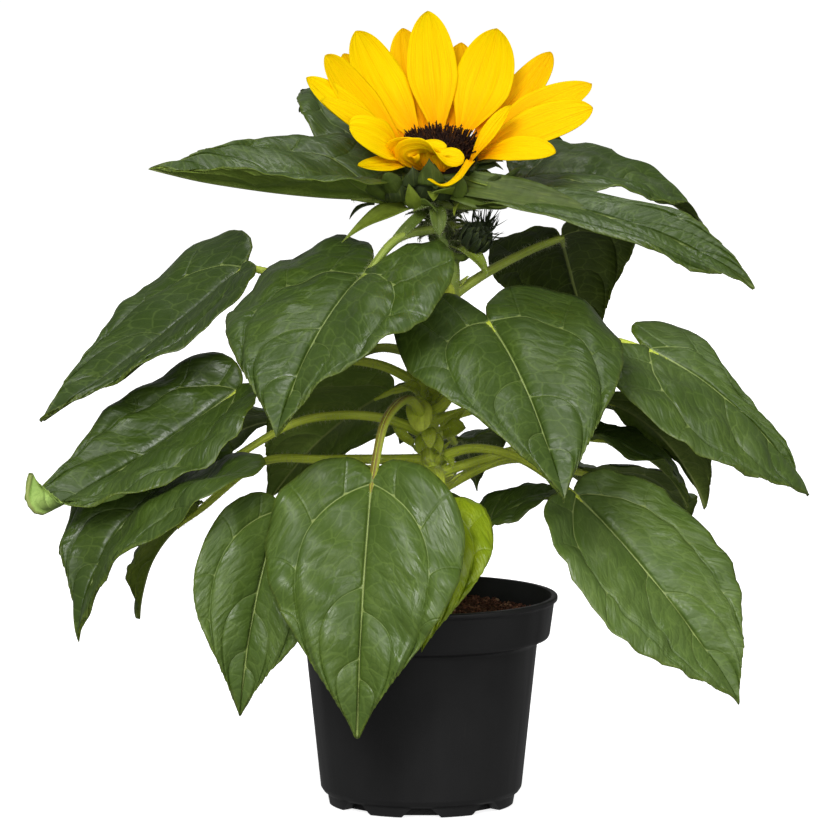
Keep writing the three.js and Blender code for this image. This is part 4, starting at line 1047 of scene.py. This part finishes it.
def grow_pot(material):
    """The nursery pot with the drain notches cut out of its foot."""
    profile = rounded([
        (0, 0), (FOOT_RADIUS - 0.4, 0), (FOOT_RADIUS, 0.4), (FOOT_RADIUS + 0.3, 4.6),
        (BODY_FOOT_RADIUS - 1.4, 5.8), (BODY_FOOT_RADIUS, 8), (BODY_TOP_RADIUS, BAND_FOOT - 4),
        (BODY_TOP_RADIUS + 0.8, BAND_FOOT - 2.6), (RIM_RADIUS - 4.4, BAND_FOOT - 1),
        (RIM_RADIUS - 3.7, BAND_FOOT + 0.4), (RIM_RADIUS - 1.6, POT_HEIGHT - 3.2),
        (RIM_RADIUS, POT_HEIGHT - 2.2), (RIM_RADIUS, POT_HEIGHT - 0.5), (RIM_RADIUS - 0.5, POT_HEIGHT),
        (RIM_RADIUS - 3, POT_HEIGHT), (RIM_RADIUS - 3.7 - WALL, BAND_FOOT + 0.8),
        (BODY_TOP_RADIUS - WALL, BAND_FOOT - 3), (BODY_FOOT_RADIUS - WALL, 9), (FOOT_RADIUS - 1, 7),
        (FOOT_RADIUS - 9, 7), (FOOT_RADIUS - 10, FLOOR), (0, FLOOR)])
    verts, tris = turned(profile, POT_SIDES)
    mesh = bpy.data.meshes.new("pot_shell")
    mesh.from_pydata((verts * MM).tolist(), [], tris.tolist())
    pot = placed("pot_shell", mesh)
    cutter_mesh = bmesh.new()
    foot, top = NOTCH_HALVES
    for a in circle(NOTCH_COUNT):
        corners = []
        for y in (-FOOT_RADIUS + 7.5, -FOOT_RADIUS - 6):
            for x, z in ((-foot, -1), (foot, -1), (top, NOTCH_HEIGHT), (-top, NOTCH_HEIGHT)):
                corners.append(cutter_mesh.verts.new(Vector((
                    x * math.cos(a) - y * math.sin(a), x * math.sin(a) + y * math.cos(a), z)) * MM))
        near, far = corners[:4], corners[4:]
        for face in (near, far[::-1], *([near[k], far[k], far[(k + 1) % 4], near[(k + 1) % 4]]
                                         for k in range(4))):
            cutter_mesh.faces.new(face)
    bmesh.ops.recalc_face_normals(cutter_mesh, faces=cutter_mesh.faces)
    cutter = placed("notches", bpy.data.meshes.new("notches"))
    cutter_mesh.to_mesh(cutter.data)
    cutter_mesh.free()
    cut = pot.modifiers.new("notches", "BOOLEAN")
    cut.object, cut.operation, cut.solver = cutter, "DIFFERENCE", "EXACT"
    depsgraph = bpy.context.evaluated_depsgraph_get()
    made = bpy.data.meshes.new_from_object(pot.evaluated_get(depsgraph))
    bpy.data.objects.remove(pot)
    bpy.data.objects.remove(cutter)
    made.shade_smooth()
    made.set_sharp_from_angle(angle=math.radians(38))
    made.materials.clear()
    made.materials.append(material)
    dress(placed("nursery_pot", made), ["pot"])


def grow_soil(heap):
    """Peat: an uneven surface strewn with crumbs, each a dented ball of twenty faces."""
    rng = np.random.default_rng(4)
    rows, cols = 40, 96
    r = np.linspace(0, 1, rows) ** 0.8 * SOIL_REACH
    a = circle(cols)
    x, y = r[:, None] * np.cos(a), r[:, None] * np.sin(a)

    def level(x, y):
        z = SOIL_TOP - 1.2 + 0.9 * np.sin(x / 9 + 1) * np.sin(y / 11) + 0.5 * np.sin(x / 4.1 + y / 5.3)
        return z - 1.6 * np.clip((np.hypot(x, y) - 50) / 9, 0, 1) ** 2

    z = level(x, y) + rng.normal(0, 0.25, x.shape)
    z[0] = z[0].mean()
    verts = np.stack([x, y, z], -1).reshape(-1, 3)
    heap.add(verts, grid(rows, cols, loop=True), (0.3, 0, 0))
    skirt = np.stack([verts[-cols:], verts[-cols:] * [0.9, 0.9, 0] + [0, 0, BAND_FOOT]]).reshape(-1, 3)
    heap.add(skirt, grid(2, cols, loop=True)[:, ::-1], (0.3, 0, 0))
    golden = (1 + 5**0.5) / 2
    signs = [(s, t * golden) for s in (-1, 1) for t in (-1, 1)]
    ball = unit(np.array([(0, s, t) for s, t in signs] + [(s, t, 0) for s, t in signs]
                         + [(t, 0, s) for s, t in signs]))
    apart = np.linalg.norm(ball[:, None] - ball[None], axis=-1)
    faces = np.array([
        (i, j, k) for i in range(12) for j in range(i + 1, 12) for k in range(j + 1, 12)
        if max(apart[i, j], apart[j, k], apart[i, k]) < SHORT_EDGE])
    a, b, c = (ball[faces[:, i]] for i in range(3))
    flip = (np.cross(b - a, c - a) * a).sum(1) < 0
    faces[flip] = faces[flip][:, ::-1]
    for _ in range(CRUMBS):
        radius, turn = SOIL_REACH * math.sqrt(rng.random()), rng.random() * TAU
        size = rng.choice(CRUMB_SIZES, p=CRUMB_SHARES) * rng.uniform(0.7, 1.3)
        if radius > SOIL_REACH - size:
            continue
        stretch = rng.uniform(0.5, 1.3, 3) * (1.9 if rng.random() < 0.12 else 1.0, 0.8, 0.7)
        spin = np.linalg.qr(rng.normal(size=(3, 3)))[0]
        crumb = (ball * rng.uniform(0.75, 1.2, (12, 1)) * stretch * size) @ spin
        place = level_way(turn) * radius
        place[2] = level(place[0], place[1]) + size * 0.35
        heap.add(crumb + place, outward(crumb, faces), (rng.random(), rng.random(), 0))


# Materials.

class Look:
    """A material, with short ways to add what the looks below need."""

    def __init__(self, name, **values):
        self.material = bpy.data.materials.new(name)
        self.material.use_nodes = True
        self.tree = self.material.node_tree
        self.shader = self.tree.nodes["Principled BSDF"]
        for key, value in values.items():
            self.shader.inputs[key.replace("_", " ")].default_value = value

    def node(self, kind, inputs=(), **props):
        made = self.tree.nodes.new("ShaderNode" + kind)
        for key, value in props.items():
            setattr(made, key, value)
        for key, value in dict(inputs).items():
            if isinstance(value, bpy.types.NodeSocket):
                self.tree.links.new(value, made.inputs[key])
            else:
                made.inputs[key].default_value = value
        return made

    def give(self, socket, value):
        self.tree.links.new(value, self.shader.inputs[socket])

    def math(self, operation, a, b=0.0):
        return self.node("Math", {0: a, 1: b}, operation=operation).outputs[0]

    def mix(self, share, a, b, blend="MIX"):
        return self.node("Mix", {0: share, 6: a, 7: b}, data_type="RGBA", blend_type=blend).outputs[2]

    def remap(self, value, low, high, to_low=0.0, to_high=1.0, smooth=True):
        return self.node("MapRange", {0: value, 1: low, 2: high, 3: to_low, 4: to_high},
                         interpolation_type="SMOOTHSTEP" if smooth else "LINEAR").outputs[0]

    def shade(self):
        """The three numbers that each point of a mesh carries for its look."""
        colour = self.node("VertexColor", layer_name="shade").outputs[0]
        return self.node("SeparateColor", {0: colour}).outputs

    def map(self):
        return self.node("UVMap", uv_map="blade").outputs[0]

    def here(self):
        return self.node("TexCoord").outputs["Object"]

    def scaled(self, vector, scale):
        return self.node("Mapping", {"Vector": vector, "Scale": scale}).outputs[0]

    def vector_math(self, operation, a, b):
        return self.node("VectorMath", {0: a, 1: b}, operation=operation).outputs[0]

    def times(self, colour, factor):
        return self.mix(1.0, colour, factor, "MULTIPLY")

    def where(self, value, low, high, base, colour, most=1.0):
        """The base, and up to the most of another colour as a value goes from low to high."""
        return self.mix(self.remap(value, low, high, 0.0, most), base, colour)

    def noise(self, vector, scale, detail=3.0, rough=0.5):
        if isinstance(scale, tuple):
            vector, scale = self.scaled(vector, scale), 1.0
        return self.node("TexNoise", {"Vector": vector, "Scale": scale, "Detail": detail,
                                      "Roughness": rough}).outputs[0]

    def net(self, vector, scale, randomness=1.0):
        return self.node("TexVoronoi", {"Vector": vector, "Scale": scale, "Randomness": randomness},
                         feature="DISTANCE_TO_EDGE").outputs[0]

    def ramp(self, value, stops):
        made = self.node("ValToRGB", {0: value})
        elements = made.color_ramp.elements
        while len(elements) < len(stops):
            elements.new(0.5)
        for element, (place, colour) in zip(elements, stops):
            element.position = place
            element.color = (*colour, 1)
        return made.outputs[0]

    def done(self, colour, *relief):
        """The material in its colour, with relief as pairs of a value and its height in millimetres."""
        self.give("Base Color", colour)
        total = None
        for value, height in relief:
            part = self.math("MULTIPLY", value, height)
            total = part if total is None else self.math("ADD", total, part)
        if relief:
            self.give("Normal", self.node("Bump", {"Height": total, "Distance": MM}).outputs[0])
        return self.material


def leaf_look(name, under):
    """A blade's upper or lower side: main veins, the ladder of cross veins and a finer net."""
    look = Look(name, Roughness=0.42, Specular_IOR_Level=0.25 if under else 0.45)
    veins, margin, tint = look.shade()[:3]
    blade = look.map()
    sway = look.node("TexNoise", {"Vector": blade, "Scale": 0.5, "Detail": 2.0}).outputs[1]
    sway = look.vector_math("MULTIPLY", sway, (0.95, 0.85, 0.95))
    ladder = look.net(look.vector_math("ADD", look.scaled(blade, (0.95, 0.72, 1)), sway), 1.0, 0.8)
    fine = look.net(look.vector_math("ADD", look.scaled(blade, (2.2, 2.0, 1)), sway), 1.0)
    ladder_line = look.remap(ladder, 0.012, 0.06, 1, 0)
    fine_line = look.remap(fine, 0.02, 0.1, 1, 0)
    vein = look.remap(veins, 0.7 / MARGIN, 1.9 / MARGIN, 1, 0)
    patches = look.noise(blade, 0.28, 4, 0.6)
    if under:
        # The darkest stop, well below an underside's own green near 0.4, is painted shade for an
        # underside in shadow; the stop at 0.9, far paler, is painted light for a rolled tip that
        # catches the light.
        base = look.ramp(tint, [(0, (0.045, 0.068, 0.004)), (0.2, (0.115, 0.165, 0.022)),
                                (0.4, (0.20, 0.28, 0.05)), (0.8, (0.20, 0.27, 0.01)),
                                (0.9, (0.36, 0.52, 0.13))])
        vein_colour = (0.30, 0.36, 0.10, 1)
    else:
        base = look.ramp(tint, [(0, (0.038, 0.070, 0.006)), (0.37, (0.098, 0.160, 0.024)),
                                (0.46, (0.125, 0.195, 0.040)), (0.8, (0.34, 0.45, 0.012))])
        vein_colour = (0.32, 0.40, 0.12, 1)
    darker = look.times(base, (0.72, 0.78, 0.7, 1))
    base = look.where(patches, 0.35, 0.65, darker, base)
    base = look.where(margin, 0.86, 1.0, base, (0.17, 0.22, 0.015, 1), 0.35)
    lighter = look.mix(1.0, base, (0.030, 0.042, 0.010, 1), "ADD")
    base = look.mix(look.math("MULTIPLY", fine_line, 0.7), base, darker)
    base = look.mix(look.math("MULTIPLY", ladder_line, 0.8), base, lighter)
    share = look.math("MULTIPLY", vein, look.remap(tint, 0.05, 0.34, 0.55, 0.95, smooth=False))
    base = look.mix(share, base, vein_colour)
    gloss = look.noise(blade, 0.4, 3)
    look.give("Roughness", look.remap(gloss, 0.3, 0.7, *((0.6, 0.72) if under else (0.31, 0.54))))
    side = -1.0 if under else 1.0
    grain = look.noise(blade, 20, 2)
    return look.done(base, (look.remap(veins, 0.0, 5.0 / MARGIN), 0.35 * side),
                     (look.remap(ladder, 0.0, 0.45), 0.26 * side),
                     (look.remap(fine, 0.0, 0.35), 0.07 * side), (grain, 0.02))


def stem_look(name, colour, dark):
    """Streaky green of the stem and stalks, with a red blush along the top of a stalk."""
    look = Look(name, Roughness=0.5, Specular_IOR_Level=0.35)
    _, red, fresh = look.shade()[:3]
    strip = look.map()
    streak = look.noise(strip, (16, 0.5, 1), 3)
    spots = look.noise(look.here(), 900, 2)
    base = look.where(streak, 0.35, 0.65, dark, colour)
    base = look.mix(fresh, look.times(base, (0.24, 0.32, 0.8, 1)), base)
    base = look.where(spots, 0.58, 0.72, base, (0.30, 0.36, 0.12, 1), 0.4)
    turn = look.node("SeparateXYZ", {0: strip}).outputs[0]
    top = look.remap(look.math("ABSOLUTE", look.math("SUBTRACT", turn, 0.5)), 0.22, 0.44)
    blush = look.math("MULTIPLY", look.math("MULTIPLY", top, red),
                      look.remap(streak, 0.3, 0.6, 0.5, 0.95))
    base = look.mix(blush, base, (0.17, 0.075, 0.018, 1))
    return look.done(base, (streak, 0.25), (spots, 0.12))


def bract_look(name):
    look = Look(name, Roughness=0.55, Specular_IOR_Level=0.3)
    tint = look.shade()[2]
    strip = look.map()
    mottle = look.noise(strip, 2.5, 4)
    veins = look.noise(strip, (9, 0.8, 1), 2)
    # The palest stop is brighter than a leaflet's own green: painted light that makes up for the shade
    # the leaves cast on the shoots round the stem.
    base = look.ramp(tint, [(0, (0.018, 0.028, 0.010)), (0.5, (0.10, 0.150, 0.018)),
                            (0.7, (0.40, 0.50, 0.035)), (1.0, (0.82, 0.94, 0.11))])
    base = look.where(mottle, 0.35, 0.7, base, look.times(base, (0.5, 0.5, 0.45, 1)), 0.5)
    base = look.where(veins, 0.5, 0.75, base, (0.20, 0.25, 0.04, 1), 0.35)
    return look.done(base, (veins, 0.3), (mottle, 0.2))


def petal_look():
    look = Look("petal_yellow", Roughness=0.6, Subsurface_Weight=0.2, Subsurface_Scale=0.002,
                Subsurface_Radius=(1.0, 0.7, 0.05), Specular_IOR_Level=0.04)
    along, edge, deep = look.shade()[:3]
    strip = look.map()
    lines = look.noise(strip, (34, 1.3, 1), 3)
    broad = look.noise(strip, (5, 1.5, 1), 2)
    base = look.ramp(along, [(0, (0.90, 0.22, 0.0)), (0.2, (0.97, 0.40, 0.0)), (0.5, (0.98, 0.60, 0.0)),
                             (1.0, (0.98, 0.68, 0.0))])
    base = look.where(lines, 0.46, 0.7, base, (0.90, 0.42, 0.0, 1), 0.75)
    base = look.where(broad, 0.4, 0.7, base, (0.98, 0.72, 0.0, 1), 0.3)
    # Painted shade: petals marked deep are given a deeper orange where they lie in shadow or in a fold.
    shadow_orange = look.times(base, (0.86, 0.62, 1.0, 1))
    base = look.mix(look.math("MULTIPLY", deep, look.remap(broad, 0.3, 0.7, 0.6, 1.0)), base, shadow_orange)
    base = look.where(edge, 0.7, 1.0, base, (0.98, 0.72, 0.0, 1), 0.25)
    return look.done(base, (lines, 0.4), (broad, 0.6))


def disc_look():
    look = Look("disc_florets", Roughness=0.7, Specular_IOR_Level=0.15)
    base = look.ramp(look.shade()[1], [
        (0, (0.008, 0.002, 0.001)), (0.75, (0.014, 0.004, 0.002)), (1.0, (0.06, 0.02, 0.003))])
    grain = look.noise(look.here(), 1500, 2)
    base = look.where(grain, 0.45, 0.7, base, (0.03, 0.011, 0.005, 1), 0.5)
    return look.done(base, (grain, 0.1))


def pot_look():
    look = Look("black_plastic", Roughness=0.45, Specular_IOR_Level=0.22)
    here = look.here()
    streak = look.noise(here, (90, 90, 2.5), 3)
    cloud = look.noise(here, 22, 3)
    grain = look.noise(here, 2600, 2)
    scratch = look.noise(here, (420, 420, 30), 2, 0.7)
    base = look.where(cloud, 0.3, 0.7, (0.014, 0.014, 0.0142, 1), (0.018, 0.018, 0.0182, 1))
    dust = look.math("MULTIPLY", look.remap(scratch, 0.62, 0.75, 0, 0.5), look.remap(cloud, 0.45, 0.7))
    base = look.mix(dust, base, (0.025, 0.024, 0.022, 1))
    look.give("Roughness", look.remap(streak, 0.3, 0.7, 0.36, 0.5))
    return look.done(base, (streak, 0.10), (grain, 0.03))


def soil_look():
    look = Look("moist_peat", Roughness=0.9, Specular_IOR_Level=0.35)
    clod = look.noise(look.here(), 330, 4, 0.7)
    # Browns lighter than moist peat's own: painted light that makes up for the shadow of the pot rim on
    # the soil.
    base = look.ramp(look.shade()[0], [
        (0, (0.09, 0.032, 0.020)), (0.55, (0.27, 0.11, 0.065)), (0.9, (0.42, 0.19, 0.11)),
        (1.0, (0.60, 0.36, 0.22))])
    base = look.where(clod, 0.4, 0.65, look.times(base, (0.35, 0.35, 0.35, 1)), base)
    return look.done(base, (clod, 0.6))


def hair_look(name, colour):
    look = Look(name, Roughness=0.5)
    shaded = (*(c * 0.6 for c in colour[:3]), 1)
    patches = look.noise(look.here(), 400, 2)
    return look.done(look.where(patches, 0.3, 0.7, colour, shaded))


# The whole plant.

leaf_sides = [leaf_look("leaf_top", False), leaf_look("leaf_under", True)]
# Stem and stalks: a yellow-green paler than their own, partly their colour and partly painted light
# that makes up for the shade of the leaves above them.
stem_green = stem_look("stem_green", (0.74, 0.86, 0.090, 1), (0.54, 0.66, 0.055, 1))
bract_green = bract_look("bract_green")

grow_pot(pot_look())
soil = Heap()
grow_soil(soil)
soil.make("peat", [soil_look()], "soil", ["soil"])

hairs, spikes, stem, shoots = Heap(), Heap(), Heap(), Heap()
grow_stem(stem, hairs)
grow_shoots(shoots, hairs)
edge, edge_ways, _, _ = add_leaflet(
    shoots, (-7, -8, 286), (-37.6, -22, 271.2), (-0.1, -0.7, 1), width=15, seed=77, arch=3,
    curl=-1, tint=0.56, taper=1.35, rows=24)
add_hairs(hairs, edge, edge_ways, np.full(len(edge), 1.2), thickness=0.05,
          rng=np.random.default_rng(9))
stem.make("stem_skin", [stem_green], "stem", ["stem"])
shoots.make("axil_shoots", [bract_green], "stem")

for number, (name, leaf) in enumerate(LEAVES.items()):
    stalk, blade = Heap(), Heap()
    grow_stalk(leaf, stalk, hairs, np.random.default_rng(200 + number))
    stalk.make("petiole_" + name, [stem_green], "stem", ["stalk_" + name])
    add_blade(blade, leaf, number + 1)
    blade.make("blade_" + name, leaf_sides, "leaf", ["leaf_" + name])

bud, cup, rays, florets = Heap(), Heap(), Heap(), Heap()
grow_bud(bud, spikes)
bud.make("side_bud", [bract_green], "bud", ["bud"])
grow_receptacle(cup, spikes)
cup.make("flower_cup", [bract_green], "bud", ["receptacle"])
for number, petal in enumerate(PETALS):
    add_petal(rays, petal, number + 1)
rays.make("ray_florets", [petal_look()], "petal", ["ray_petals"])
grow_disc(florets)
florets.make("disc_florets", [disc_look()], "disc", ["disc"])
hairs.make("fine_hairs", [hair_look("pale_hair", (0.72, 0.76, 0.46, 1))], "stem")
spikes.make("bract_hairs", [hair_look("grey_hair", (0.10, 0.115, 0.085, 1))], "bud")

# Floor, light and camera, in metres.

TARGET = Vector((-0.003, 0, 0.186))
CAMERA_DISTANCE = 3.0
CAMERA_ELEVATION = math.radians(7)
VIEW_WIDTH = 0.394
FLOOR_RADIUS = 30
BACKDROP_RADIUS = 32
WHITE = (1, 1, 1, 1)

floor_mesh = bpy.data.meshes.new("floor")
rim = [(*level_way(a)[:2] * FLOOR_RADIUS, -0.0004) for a in circle(64)]
floor_mesh.from_pydata(rim, [], [range(64)])
floor = placed("floor", floor_mesh)
floor_mesh.materials.append(Look("pale_floor", Roughness=0.9, Specular_IOR_Level=0.1,
                                 Base_Color=(0.9, 0.9, 0.9, 1), Emission_Color=WHITE,
                                 Emission_Strength=0.82).material)

# White backdrop all round, seen only from the camera: the soft light comes from the world and
# the light boxes.
dome_mesh = bmesh.new()
bmesh.ops.create_uvsphere(dome_mesh, u_segments=48, v_segments=24, radius=BACKDROP_RADIUS)
dome = placed("backdrop", bpy.data.meshes.new("backdrop"))
dome_mesh.to_mesh(dome.data)
dome_mesh.free()
dome.data.materials.append(Look("white_paper", Roughness=1.0, Base_Color=(0, 0, 0, 1),
                                Emission_Color=WHITE, Emission_Strength=1.0).material)
for stage in (floor, dome):
    stage.visible_diffuse = stage.visible_glossy = False
dome.visible_shadow = dome.visible_transmission = False

world = bpy.data.worlds.new("studio")
world.use_nodes = True
world.node_tree.nodes["Background"].inputs[0].default_value = WHITE
world.node_tree.nodes["Background"].inputs[1].default_value = 0.24
bpy.context.scene.world = world


def aimed(made, place, at):
    """Puts a light or the camera at a place, looking at a point."""
    made.location = place
    made.rotation_mode = "QUATERNION"
    made.rotation_quaternion = (Vector(at) - Vector(place)).to_track_quat("-Z", "Y")


def softbox(name, place, size, power):
    light = bpy.data.lights.new(name, "AREA")
    light.shape, light.size, light.energy = "SQUARE", size, power
    made = placed(name, light)
    aimed(made, place, (0, 0, 0.2))
    made.visible_camera = False
    return made


softbox("key", (-0.6, -1.85, 1.5), size=0.8, power=31)
softbox("top", (0.1, -0.1, 1.9), size=0.8, power=10)
softbox("fill", (1.4, -1.7, 0.7), size=0.8, power=8)
softbox("front", (0.0, -3.2, 1.3), size=2.2, power=27)
softbox("back", (0.3, 2.4, 1.1), size=1.4, power=12).visible_glossy = False

camera = placed("camera", bpy.data.cameras.new("camera"))
camera.data.sensor_width = 36
camera.data.lens = 36 * CAMERA_DISTANCE / VIEW_WIDTH
camera.data.clip_end = 100
aimed(camera, TARGET + CAMERA_DISTANCE * Vector(
    (0, -math.cos(CAMERA_ELEVATION), math.sin(CAMERA_ELEVATION))), TARGET)
bpy.context.scene.camera = camera
bpy.context.scene.view_settings.view_transform = "Standard"
